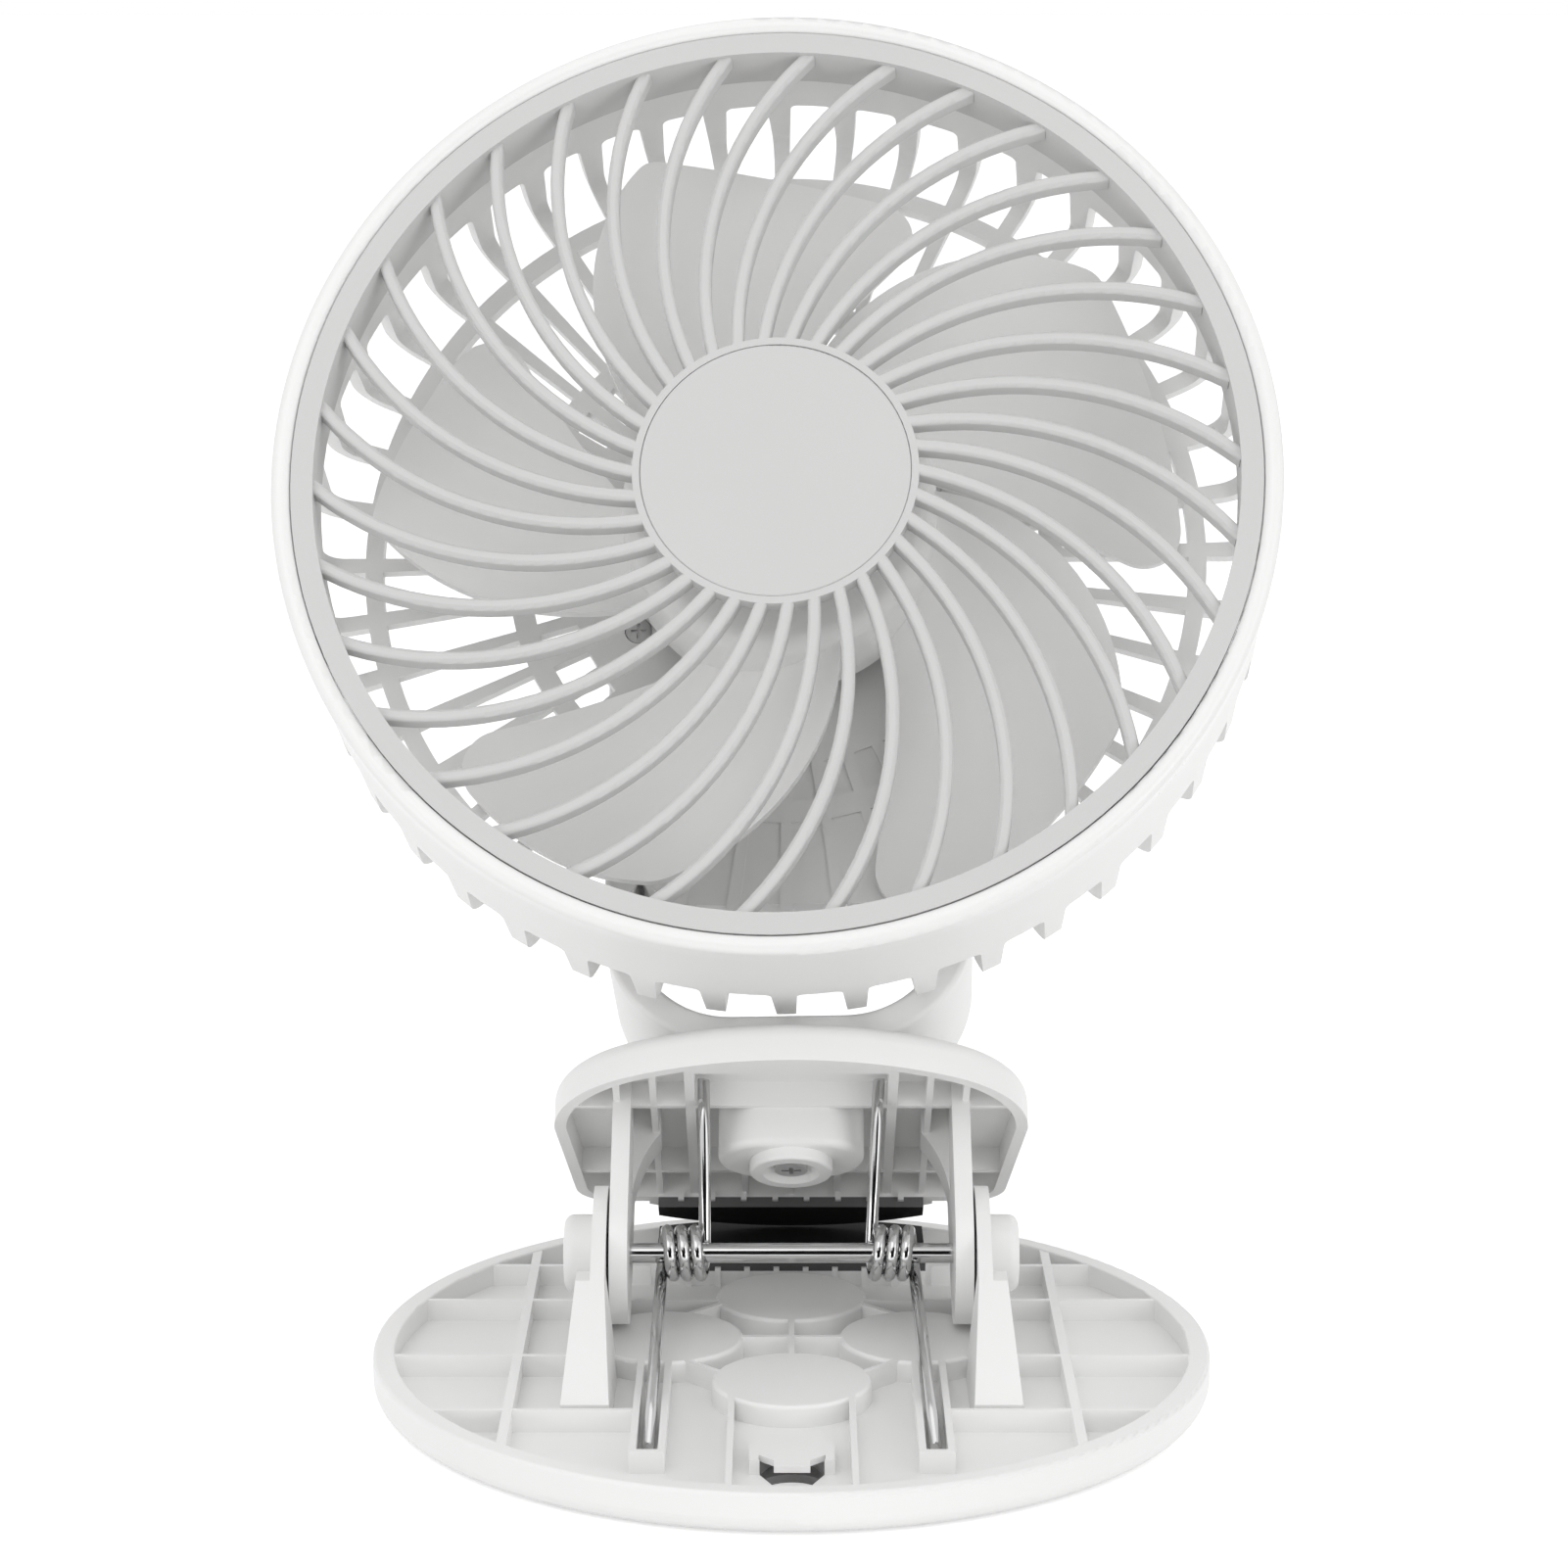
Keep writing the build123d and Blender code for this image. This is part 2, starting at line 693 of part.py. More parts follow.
with BuildPart() as clamp_lid:
    with BuildSketch(LID):
        add(lid_outline(0))
    extrude(amount=skirt_height)
    fillet(clamp_lid.faces().filter_by(LID).sort_by(Axis(LID.origin, LID.z_dir))[-1].edges(), lid_round)
    with BuildSketch(LID):
        add(lid_outline(skirt_wall))
    extrude(amount=lid_under, mode=Mode.SUBTRACT)

    # ribs under the lid
    with BuildSketch(LID.offset(lid_rib_inset)):
        for place in lid_rib_rows:
            with Locations((0, place)):
                Rectangle(2 * lid_half_width, lid_rib_width)
        for place in lid_rib_columns:
            with Locations(*both_sides(place)):
                Rectangle(lid_rib_width, 2 * lid_rear)
        frame_place = lid_frame_half_width - lid_frame_wall / 2
        with Locations(*both_sides(frame_place, (lid_frame_front + lid_rear) / 2)):
            Rectangle(lid_frame_wall, lid_rear - lid_frame_front)
        with Locations((0, (lid_frame_front - lid_front) / 2)):
            Rectangle(2 * lid_frame_half_width, lid_front + lid_frame_front)
        with Locations((0, (lid_rib_rows[1] + lid_rear) / 2)):
            with GridLocations(lid_rear_rib_spacing, 1, lid_rear_ribs, 1):
                Rectangle(lid_rib_width, lid_rear - lid_rib_rows[1])
        add(lid_outline(skirt_wall / 2), mode=Mode.INTERSECT)
    extrude(amount=lid_under - lid_rib_inset + lid_wall / 2)

    # rear jaw
    with BuildSketch(LID):
        with Locations((0, jaw_length - jaw_edge_radius)):
            Circle(jaw_edge_radius)
        with Locations((0, lid_rear + jaw_length / 2)):
            Rectangle(2 * jaw_half_width, jaw_length + 2 * skirt_wall, mode=Mode.INTERSECT)
    extrude(amount=jaw_wall)
    with BuildSketch(LID.offset(-pad_key_height)):
        with Locations((0, upper_pad_front - pad_key_depth / 2)):
            with GridLocations(upper_key_spacing, 1, pad_keys, 1):
                Rectangle(pad_key_width, pad_key_depth)
    extrude(amount=pad_key_height + lid_rib_inset)

    add(lid_ear.part)
    add(mirror(lid_ear.part, about=Plane.YZ, mode=Mode.PRIVATE))
    add(ear_gusset.part)
    add(mirror(ear_gusset.part, about=Plane.YZ, mode=Mode.PRIVATE))

    # boss that carries the fork
    add(fork_boss.part)
    with BuildSketch(LID.offset(-swivel_boss_drop)):
        Circle(screw_socket_radius)
    extrude(amount=swivel_socket_depth, mode=Mode.SUBTRACT)
    with BuildSketch(LID.offset(-swivel_boss_drop)):
        Circle(screw_radius + fit_gap)
    extrude(amount=swivel_boss_drop + skirt_height, mode=Mode.SUBTRACT)
finish(clamp_lid, "clamp_lid")

with BuildPart() as upper_jaw_pad:
    with BuildSketch(LID):
        with Locations((0, jaw_length - jaw_edge_radius)):
            Circle(jaw_edge_radius)
        with Locations((0, upper_pad_front + jaw_length / 2)):
            Rectangle(2 * pad_half_width, jaw_length, mode=Mode.INTERSECT)
    extrude(amount=-upper_pad_thickness)
finish(upper_jaw_pad, "upper_jaw_pad")

# ================================================================ clamp springs
lower_tip = Vector(lower_leg_tip[0], lower_leg_tip[1], tray_floor + wire_radius + fit_gap)
upper_tip_height = lid_under - body_gap - wire_radius / 2
upper_tip = LID.from_local_coords((*upper_leg_tip, upper_tip_height))


def tangent_angle(tip, side):
    """The angle on the coil where a straight leg from tip leaves it."""
    reach = Vector(0, tip.Y, tip.Z) - PIN
    to_tip = degrees(atan2(reach.Z, reach.Y))
    return to_tip - side * degrees(acos(coil_radius / reach.length))


upper_angle = tangent_angle(upper_tip, 1)
lower_angle = tangent_angle(lower_tip, -1)
coil_sweep = (upper_angle - lower_angle) % 360 + 360 * coil_turns
coil_start = coil_middle - coil_pitch * coil_sweep / 720


def coil_point(swept):
    angle = radians(upper_angle - swept)
    along = coil_start + coil_pitch * swept / 360
    return Vector(along, pin_y + coil_radius * cos(angle), pin_z + coil_radius * sin(angle))


def coil_heading(swept):
    angle = radians(upper_angle - swept)
    rise = coil_pitch / (2 * pi * coil_radius)
    return Vector(rise, sin(angle), -cos(angle)).normalized()


def biarc(start, leave, end, arrive):
    """Two arcs that join smoothly between two points with given headings."""
    chord = end - start
    both = leave + arrive
    across = chord.dot(both)
    spread = 2 * (1 - leave.dot(arrive))
    reach = (sqrt(across * across + spread * chord.dot(chord)) - across) / spread
    first = start + leave * reach
    second = end - arrive * reach
    middle = (first + second) * 0.5
    TangentArc(start, middle, tangent=leave)
    TangentArc(middle, end, tangent=second - first)


leg_in = (coil_point(0) - upper_tip).normalized()
leg_out = (lower_tip - coil_point(coil_sweep)).normalized()
quarters = round(coil_sweep / 90)

with BuildPart() as spring_right:
    with BuildLine() as spring_path:
        Line(upper_tip, coil_point(0))
        for quarter in range(quarters):
            before = coil_sweep * quarter / quarters
            after = coil_sweep * (quarter + 1) / quarters
            leave = leg_in if quarter == 0 else coil_heading(before)
            arrive = leg_out if quarter == quarters - 1 else coil_heading(after)
            biarc(coil_point(before), leave, coil_point(after), arrive)
        Line(coil_point(coil_sweep), lower_tip)
    with BuildSketch(Plane(origin=spring_path.wire() @ 0, z_dir=leg_in)):
        Circle(wire_radius)
    sweep()
finish(spring_right, "spring_right")

with BuildPart() as spring_left:
    add(mirror(spring_right.part, about=Plane.YZ, mode=Mode.PRIVATE))
finish(spring_left, "spring_left")


def least_gap(path, step):
    """The least clear distance of the wire to a later stretch of itself."""
    count = int(path.length / step)
    points = [path @ (index / count) for index in range(count + 1)]
    apart = int(pi * coil_radius / step)
    pairs = [(i, j) for i in range(len(points)) for j in range(i + apart, len(points))]
    return min((points[i] - points[j]).length for i, j in pairs) - 2 * wire_radius


spring_wire = spring_path.wire()
gap_step = 0.4
print("spring: least gap", round(least_gap(spring_wire, gap_step), 2), "mm")
print("spring: length", round(spring_wire.length, 1), "mm")

# ================================================================ swivel
disc_base = skirt_height + disc_play
fork_base = disc_base + swivel_disc_thickness + disc_play
saddle_top = fork_base + fork_wall
swivel_screw_top = saddle_top + swivel_nut_boss / 2

with BuildPart() as swivel_disc:
    with BuildSketch(LID.offset(disc_base)):
        Circle(swivel_disc_radius)
        Circle(screw_radius + fit_gap, mode=Mode.SUBTRACT)
    extrude(amount=swivel_disc_thickness)
finish(swivel_disc, "swivel_disc")

screw_seat = swivel_socket_depth - swivel_boss_drop
with BuildPart() as swivel_washer:
    with BuildSketch(LID.offset(screw_seat - tilt_play)):
        Circle(screw_head_radius)
        Circle(screw_radius + fit_gap, mode=Mode.SUBTRACT)
    extrude(amount=-washer_thickness)
finish(swivel_washer, "swivel_washer")

head_face = screw_seat - tilt_play - washer_thickness
with BuildPart() as swivel_screw:
    with BuildSketch(FORK.offset(head_face)):
        Circle(screw_head_radius)
    extrude(amount=-screw_head_height)
    with BuildSketch(FORK.offset(head_face - screw_head_height)):
        add(cross_recess(screw_head_radius))
    extrude(amount=screw_head_height / 2, mode=Mode.SUBTRACT)
    with BuildSketch(FORK.offset(head_face)):
        Circle(screw_radius)
    extrude(amount=swivel_screw_top - head_face)
finish(swivel_screw, "swivel_screw")

# ================================================================ fork
arm_inner = fork_half_width - fork_wall
with BuildPart() as fork:
    with BuildSketch(FORK_FRONT):
        with BuildLine():
            outer = FilletPolyline(
                (-fork_half_width, fork_reach + fork_depth),
                (-fork_half_width, fork_base),
                (fork_half_width, fork_base),
                (fork_half_width, fork_reach + fork_depth),
                radius=fork_corner,
            )
            inner = FilletPolyline(
                (-arm_inner, fork_reach + fork_depth),
                (-arm_inner, saddle_top),
                (arm_inner, saddle_top),
                (arm_inner, fork_reach + fork_depth),
                radius=fork_corner - fork_wall,
            )
            Line(outer @ 0, inner @ 0)
            Line(outer @ 1, inner @ 1)
        make_face()
    extrude(amount=fork_depth / 2, both=True)
    with BuildSketch(TILT_SIDE):
        Circle(fork_depth / 2)
        with Locations((0, -fork_reach / 2)):
            Rectangle(fork_depth, fork_reach)
    extrude(amount=fork_half_width, both=True, mode=Mode.INTERSECT)
    fillet(fork.edges(), fork_edge)
    with BuildSketch(FORK.offset(saddle_top - fork_edge)):
        Circle(screw_head_radius * 2)
    extrude(amount=swivel_nut_boss + fork_edge)
    with BuildSketch(FORK.offset(fork_base)):
        Circle(screw_radius + fit_gap)
    extrude(amount=swivel_screw_top - fork_base + seat_gap, mode=Mode.SUBTRACT)
    with BuildSketch(TILT_SIDE):
        Circle(tilt_screw_radius + fit_gap)
    extrude(amount=fork_half_width, both=True, mode=Mode.SUBTRACT)
    for side in (-1, 1):
        with BuildSketch(TILT_SIDE.offset(side * fork_half_width)):
            Circle(tilt_head_radius + body_gap)
        extrude(amount=-side * tilt_head_height, mode=Mode.SUBTRACT)
finish(fork, "fork")

# ================================================================ tilt screws and washers
tilt_boss_inner = cell_radius * 2 + cell_play * 2 + holder_wall + body_gap
screw_face = fork_half_width - tilt_head_height + tilt_play
with BuildPart() as tilt_screws:
    for side in (-1, 1):
        with BuildSketch(TILT_SIDE.offset(side * screw_face)):
            Circle(tilt_head_radius)
        extrude(amount=side * (tilt_head_height - 2 * tilt_play))
        with BuildSketch(TILT_SIDE.offset(side * screw_face)):
            Circle(tilt_screw_radius)
        extrude(amount=-side * (screw_face - tilt_boss_inner - body_gap))
        with BuildSketch(TILT_SIDE.offset(side * (fork_half_width - tilt_play))):
            add(cross_recess(tilt_head_radius))
        extrude(amount=-side * tilt_head_height / 2, mode=Mode.SUBTRACT)
finish(tilt_screws, "tilt_screws")

with BuildPart() as tilt_washers:
    for side in (-1, 1):
        with BuildSketch(TILT_SIDE.offset(side * (pod_half_width + tilt_play))):
            Circle(tilt_washer_radius)
            Circle(tilt_screw_radius + fit_gap, mode=Mode.SUBTRACT)
        extrude(amount=side * tilt_washer_thickness)
finish(tilt_washers, "tilt_washers")

# ================================================================ rear shell
shell_floor = shell_rear + shell_wall
slot_deep = shell_rear - shell_wall
rib_pitch = 360 / shell_ribs


def slot_cutter(front, deep, inner, outer, inner_width, outer_width, spread, corner):
    """A wedge that cuts one slot; it widens to the rear by spread."""
    with BuildPart() as cutter:
        for level, grow in ((front, 0), (deep, spread)):
            with BuildSketch(Plane.XY.offset(level)):
                Polygon(
                    (inner, -(inner_width + grow) / 2),
                    (outer, -(outer_width + grow) / 2),
                    (outer, (outer_width + grow) / 2),
                    (inner, (inner_width + grow) / 2),
                    align=None,
                )
        loft(ruled=True)
        if corner > 0:
            fillet(cutter.edges().group_by(Axis.Z)[-1].sort_by(SortBy.LENGTH)[-2:], corner)
    return cutter.part


slot_outer_width = slot_front_width + (head_radius - shell_radius) * 2 * pi / shell_ribs
outer_slot = slot_cutter(
    shell_band_end,
    slot_deep,
    shell_ring_outer,
    head_radius + shell_wall,
    slot_inner_width,
    slot_outer_width,
    slot_spread,
    slot_corner,
)
inner_slot = slot_cutter(
    shell_floor + shell_wall,
    slot_deep,
    inner_slot_start,
    shell_ring_inner,
    2 * pi * inner_slot_start / shell_ribs - inner_rib_width,
    2 * pi * shell_ring_inner / shell_ribs - inner_rib_width,
    0,
    0,
)

with BuildPart() as rear_shell:
    with BuildSketch(HEAD_PROFILE):
        with BuildLine():
            shell_outside = FilletPolyline(
                (0, shell_rear),
                (shell_radius, shell_rear),
                (shell_radius, shell_front),
                radius=shell_shoulder,
            )
            shell_inside = FilletPolyline(
                (0, shell_floor),
                (shell_radius - shell_wall, shell_floor),
                (shell_radius - shell_wall, shell_front),
                radius=shell_shoulder - shell_wall,
            )
            Line(shell_outside @ 0, shell_inside @ 0)
            Line(shell_outside @ 1, shell_inside @ 1)
        make_face()
    revolve(axis=HEAD_AXIS)
    with Locations(HEAD.location):
        with PolarLocations(0, shell_ribs, start_angle=rib_pitch / 2 - 90):
            add(outer_slot, mode=Mode.SUBTRACT)
            add(inner_slot, mode=Mode.SUBTRACT)
    with BuildSketch(HEAD.offset(shell_rear)):
        Circle(shell_radius - back_ring_inset)
        Circle(shell_radius - back_ring_inset - back_ring_width, mode=Mode.SUBTRACT)
    extrude(amount=shell_wall)
    with BuildSketch(HEAD.offset(shell_rear)):
        with Locations((0, (pod_top + pod_bottom) / 2)):
            RectangleRounded(2 * pod_half_width, pod_top - pod_bottom, pod_corner)
    extrude(amount=shell_wall - panel_relief)
    pod_screw_places = both_sides(*pod_screw_place) + both_sides(pod_screw_place[0], -pod_screw_place[1])
    with BuildSketch(HEAD.offset(shell_rear)):
        with Locations(*pod_screw_places):
            Circle(pod_screw_radius + fit_gap)
    extrude(amount=shell_wall, mode=Mode.SUBTRACT)
    with BuildSketch(HEAD.offset(shell_floor)):
        with Locations(*pod_screw_places):
            Circle(pod_screw_head + seat_gap)
    extrude(amount=-pod_screw_head_height - panel_relief / 2, mode=Mode.SUBTRACT)
finish(rear_shell, "rear_shell")

# ================================================================ front grille, trim ring and cap
with BuildPart() as trim_ring:
    with BuildSketch(HEAD_PROFILE):
        with Locations((head_radius - trim_width / 2, (trim_front + shell_front) / 2)):
            Rectangle(trim_width, trim_front - shell_front)
    revolve(axis=HEAD_AXIS)
    fillet(trim_ring.edges().filter_by(GeomType.CIRCLE).sort_by(HEAD_AXIS)[-2:], trim_round)
finish(trim_ring, "trim_ring")

hoop_outer = head_radius - trim_width - trim_gap
hoop_inner = hoop_outer - hoop_width
rib_rear = hub_disc_front - grille_rib_depth

with BuildPart() as grille_rib:
    with BuildSketch(Plane.XY.offset(rib_rear)):
        with BuildLine():
            ThreePointArc(
                polar(hub_disc_radius - rib_bury, rib_inner_angle),
                polar(rib_middle_radius, rib_middle_angle),
                polar(hoop_inner + rib_bury, rib_outer_angle),
            )
        trace(line_width=grille_rib_width)
    extrude(amount=grille_rib_depth)
    fillet(grille_rib.edges().group_by(Axis.Z)[-1].sort_by(SortBy.LENGTH)[-2:], grille_rib_round)

with BuildPart() as front_grille:
    with BuildSketch(HEAD_PROFILE):
        with BuildLine():
            Polyline(
                (hoop_inner, grille_front - hoop_depth),
                (hoop_inner, grille_front),
                (hoop_outer, grille_front),
                (hoop_outer, grille_front - hoop_rim_depth),
                (hoop_inner + hoop_wall, grille_front - hoop_rim_depth),
                (hoop_inner + hoop_wall, grille_front - hoop_depth),
                close=True,
            )
        make_face()
    revolve(axis=HEAD_AXIS)
    with BuildSketch(HEAD.offset(hub_disc_front - hub_disc_depth)):
        Circle(hub_disc_radius)
    extrude(amount=hub_disc_depth)
    with BuildSketch(HEAD.offset(hub_disc_front - cap_depth)):
        Circle(hub_disc_radius - cap_rim)
    extrude(amount=cap_depth, mode=Mode.SUBTRACT)
    with Locations(HEAD.location):
        with PolarLocations(0, grille_ribs):
            add(grille_rib.part)
    with BuildSketch(HEAD.offset(grille_front - hoop_depth)):
        with PolarLocations((hoop_inner + hoop_outer) / 2, snap_hooks, start_angle=snap_start):
            Rectangle(hoop_width, snap_width)
    extrude(amount=snap_height)
finish(front_grille, "front_grille")

with BuildPart() as centre_cap:
    with BuildSketch(HEAD.offset(hub_disc_front - cap_depth)):
        Circle(hub_disc_radius - cap_rim - fit_gap)
    extrude(amount=cap_depth)
    fillet(centre_cap.edges().sort_by(HEAD_AXIS)[-1], cap_round)
finish(centre_cap, "centre_cap")

# ================================================================ rotor
hub_inner_radius = rotor_hub_radius - rotor_hub_wall
hub_roof = rotor_hub_front - rotor_hub_wall
hub_end = rotor_hub_front - rotor_hub_length
blade_root = rotor_hub_radius - rotor_hub_wall / 2


def blade_section(distance, middle, pitch):
    """A hollowed strip square to the blade's length, leading edge to the rear."""
    lean = radians(pitch)
    section = Plane(origin=(distance, middle, blade_plane), x_dir=(0, cos(lean), sin(lean)), z_dir=(1, 0, 0))
    reach = blade_span / 2
    rise = reach * reach / (2 * blade_curve)
    with BuildSketch(section) as strip:
        with BuildLine():
            rear = ThreePointArc((-reach, rise), (0, 0), (reach, rise))
            front = ThreePointArc(
                (-reach, rise + blade_thickness), (0, blade_thickness), (reach, rise + blade_thickness)
            )
            Line(rear @ 0, front @ 0)
            Line(rear @ 1, front @ 1)
        make_face()
    return strip.sketch


with BuildPart() as blade:
    for distance, middle, pitch in blade_sections:
        add(blade_section(distance, middle, pitch))
    loft()
    with BuildSketch(Plane.XY.offset(2 * blade_plane)) as planform:
        with BuildLine():
            Line(polar(blade_root, blade_rear_edge[0]), polar(blade_root, blade_front_edge[0]))
            ThreePointArc(
                polar(blade_root, blade_front_edge[0]),
                polar(blade_middle, blade_front_edge[1]),
                polar(blade_tip, blade_front_edge[2]),
            )
            ThreePointArc(
                polar(blade_tip, blade_front_edge[2]),
                polar(blade_tip, (blade_front_edge[2] + blade_rear_edge[2]) / 2),
                polar(blade_tip, blade_rear_edge[2]),
            )
            ThreePointArc(
                polar(blade_tip, blade_rear_edge[2]),
                polar(blade_middle, blade_rear_edge[1]),
                polar(blade_root, blade_rear_edge[0]),
            )
        make_face()
        corners = planform.vertices().group_by(Axis.X)
        fillet(corners[-1] + corners[-2], blade_corner)
        Circle(blade_root, mode=Mode.SUBTRACT)
    extrude(amount=-2 * blade_plane, mode=Mode.INTERSECT)

with BuildPart() as fan_rotor:
    with BuildSketch(HEAD_PROFILE):
        with BuildLine():
            FilletPolyline(
                (0, rotor_hub_front), (rotor_hub_radius, rotor_hub_front), (rotor_hub_radius, hub_end),
                radius=rotor_hub_round,
            )
            Polyline(
                (rotor_hub_radius, hub_end),
                (hub_inner_radius, hub_end),
                (hub_inner_radius, hub_roof),
                (shaft_boss_radius, hub_roof),
                (shaft_boss_radius, hub_roof - shaft_boss_length),
                (shaft_radius + fit_gap, hub_roof - shaft_boss_length),
                (shaft_radius + fit_gap, rotor_hub_front - rotor_hub_wall / 2),
                (0, rotor_hub_front - rotor_hub_wall / 2),
                (0, rotor_hub_front),
            )
        make_face()
    revolve(axis=HEAD_AXIS)
    with Locations(HEAD.location):
        with PolarLocations(0, blades, start_angle=blade_turn):
            add(blade.part)
finish(fan_rotor, "fan_rotor")

magnet_outer = hub_inner_radius - fit_gap
magnet_inner = magnet_outer - magnet_thickness
motor_middle = (hub_roof + hub_end) / 2 - magnet_shift
with BuildPart() as magnet_ring:
    with BuildSketch(HEAD.offset(motor_middle)):
        Circle(magnet_outer)
        Circle(magnet_inner, mode=Mode.SUBTRACT)
    extrude(amount=magnet_length / 2, both=True)
finish(magnet_ring, "magnet_ring")

# ================================================================ motor
stator_outer = magnet_inner - air_gap
tube_top = hub_roof - shaft_boss_length - body_gap
stator_base = motor_middle - stator_length / 2
board_seat = shell_floor + bearing_flange_thickness + board_shoulder_height

with BuildPart() as bearing_tube:
    with BuildSketch(HEAD_PROFILE):
        with BuildLine():
            Polyline(
                (bearing_tube_bore, shell_floor),
                (bearing_flange_radius, shell_floor),
                (bearing_flange_radius, shell_floor + bearing_flange_thickness),
                (board_shoulder_radius, shell_floor + bearing_flange_thickness),
                (board_shoulder_radius, board_seat),
                (stator_shoulder_radius, board_seat),
                (stator_shoulder_radius, stator_base),
                (bearing_tube_radius, stator_base),
                (bearing_tube_radius, tube_top),
                (bearing_tube_bore, tube_top),
                close=True,
            )
        make_face()
    revolve(axis=HEAD_AXIS)
finish(bearing_tube, "bearing_tube")

with BuildPart() as thrust_cap:
    with BuildSketch(HEAD.offset(shell_floor)):
        Circle(bearing_tube_bore - fit_gap)
    extrude(amount=thrust_cap_thickness)
finish(thrust_cap, "thrust_cap")

clip_rear = shell_floor + thrust_cap_thickness + body_gap
shaft_end = clip_rear
lower_bush = clip_rear + clip_thickness + 2 * fit_gap
with BuildPart() as shaft_bushes:
    for rear in (lower_bush, tube_top - bush_length):
        with BuildSketch(HEAD.offset(rear)):
            Circle(bearing_tube_bore - fit_gap)
            Circle(shaft_radius + fit_gap, mode=Mode.SUBTRACT)
        extrude(amount=bush_length)
finish(shaft_bushes, "shaft_bushes")

with BuildPart() as motor_shaft:
    with BuildSketch(HEAD.offset(shaft_end)):
        Circle(shaft_radius)
    extrude(amount=rotor_hub_front - rotor_hub_wall / 2 - fit_gap - shaft_end)
    with BuildSketch(HEAD.offset(clip_rear + clip_thickness / 2)):
        Circle(shaft_radius)
        Circle(shaft_radius - clip_groove, mode=Mode.SUBTRACT)
    extrude(amount=clip_thickness / 2 + fit_gap, mode=Mode.SUBTRACT)
finish(motor_shaft, "motor_shaft")

with BuildPart() as shaft_clip:
    with BuildSketch(HEAD.offset(clip_rear + clip_thickness / 2 + fit_gap)):
        Circle(clip_radius)
        Circle(shaft_radius - clip_groove + fit_gap, mode=Mode.SUBTRACT)
        with Locations((0, -clip_radius / 2)):
            Rectangle(shaft_radius, clip_radius, mode=Mode.SUBTRACT)
    extrude(amount=clip_thickness / 2 - fit_gap)
finish(shaft_clip, "shaft_clip")

with BuildPart() as stator_core:
    with BuildSketch(HEAD.offset(stator_base)):
        Circle(stator_hub_radius)
        with PolarLocations(0, stator_poles):
            with Locations((stator_outer / 2, 0)):
                Rectangle(stator_outer - stator_shoe, stator_pole_width)
            with BuildLine():
                CenterArc((0, 0), stator_outer - stator_shoe / 2, -stator_shoe_angle / 2, stator_shoe_angle)
            trace(line_width=stator_shoe)
        Circle(bearing_tube_radius + fit_gap, mode=Mode.SUBTRACT)
    extrude(amount=stator_length)
finish(stator_core, "stator_core")

winding_start = stator_hub_radius + winding_thickness / 2
winding_width = stator_pole_width + 2 * winding_thickness
winding_end = sqrt((stator_outer - stator_shoe) ** 2 - (winding_width / 2) ** 2) - seat_gap
winding_height = stator_length + 2 * winding_thickness
with BuildPart() as stator_winding:
    with BuildSketch(Plane(origin=(winding_start, 0, motor_middle), x_dir=(0, 1, 0), z_dir=(1, 0, 0))):
        RectangleRounded(winding_width, winding_height, winding_thickness * 0.8)
        Rectangle(stator_pole_width + 2 * seat_gap, stator_length + 2 * seat_gap, mode=Mode.SUBTRACT)
    extrude(amount=winding_end - winding_start)

with BuildPart() as stator_windings:
    with Locations(HEAD.location):
        with PolarLocations(0, stator_poles):
            add(stator_winding.part)
finish(stator_windings, "stator_windings")

with BuildPart() as motor_board:
    with BuildSketch(HEAD.offset(board_seat)):
        Circle(motor_board_radius)
        Circle(stator_shoulder_radius + fit_gap, mode=Mode.SUBTRACT)
    extrude(amount=motor_board_thickness)
finish(motor_board, "motor_board")

# ================================================================ pod behind the head
pod_floor = shell_rear - pod_depth + pod_wall
pod_middle = (pod_top + pod_bottom) / 2
pod_height = pod_top - pod_bottom
screw_seat_pod = shell_floor - pod_screw_head_height - panel_relief / 2
screw_tip = screw_seat_pod - pod_screw_length
board_rear = pod_floor + board_standoff
board_posts = both_sides(board_post_place[0], board_place - board_post_place[1]) + both_sides(
    board_post_place[0], board_place + board_post_place[1]
)
cell_front = shell_rear - pad_thickness - seat_gap
cell_axis = cell_front - cell_radius
holder_floor = cell_axis - cell_radius - cell_play - holder_wall
holder_half = 2 * cell_radius + 2 * cell_play + holder_wall
holder_length = cell_length + 2 * cell_play + 2 * holder_wall
holder_top = holder_bottom + holder_length
holder_posts = both_sides(holder_post_place[0], holder_bottom + holder_post_place[1] * 2) + both_sides(
    holder_post_place[0], holder_top - holder_post_place[1]
)
button_hole = button_radius + seat_gap

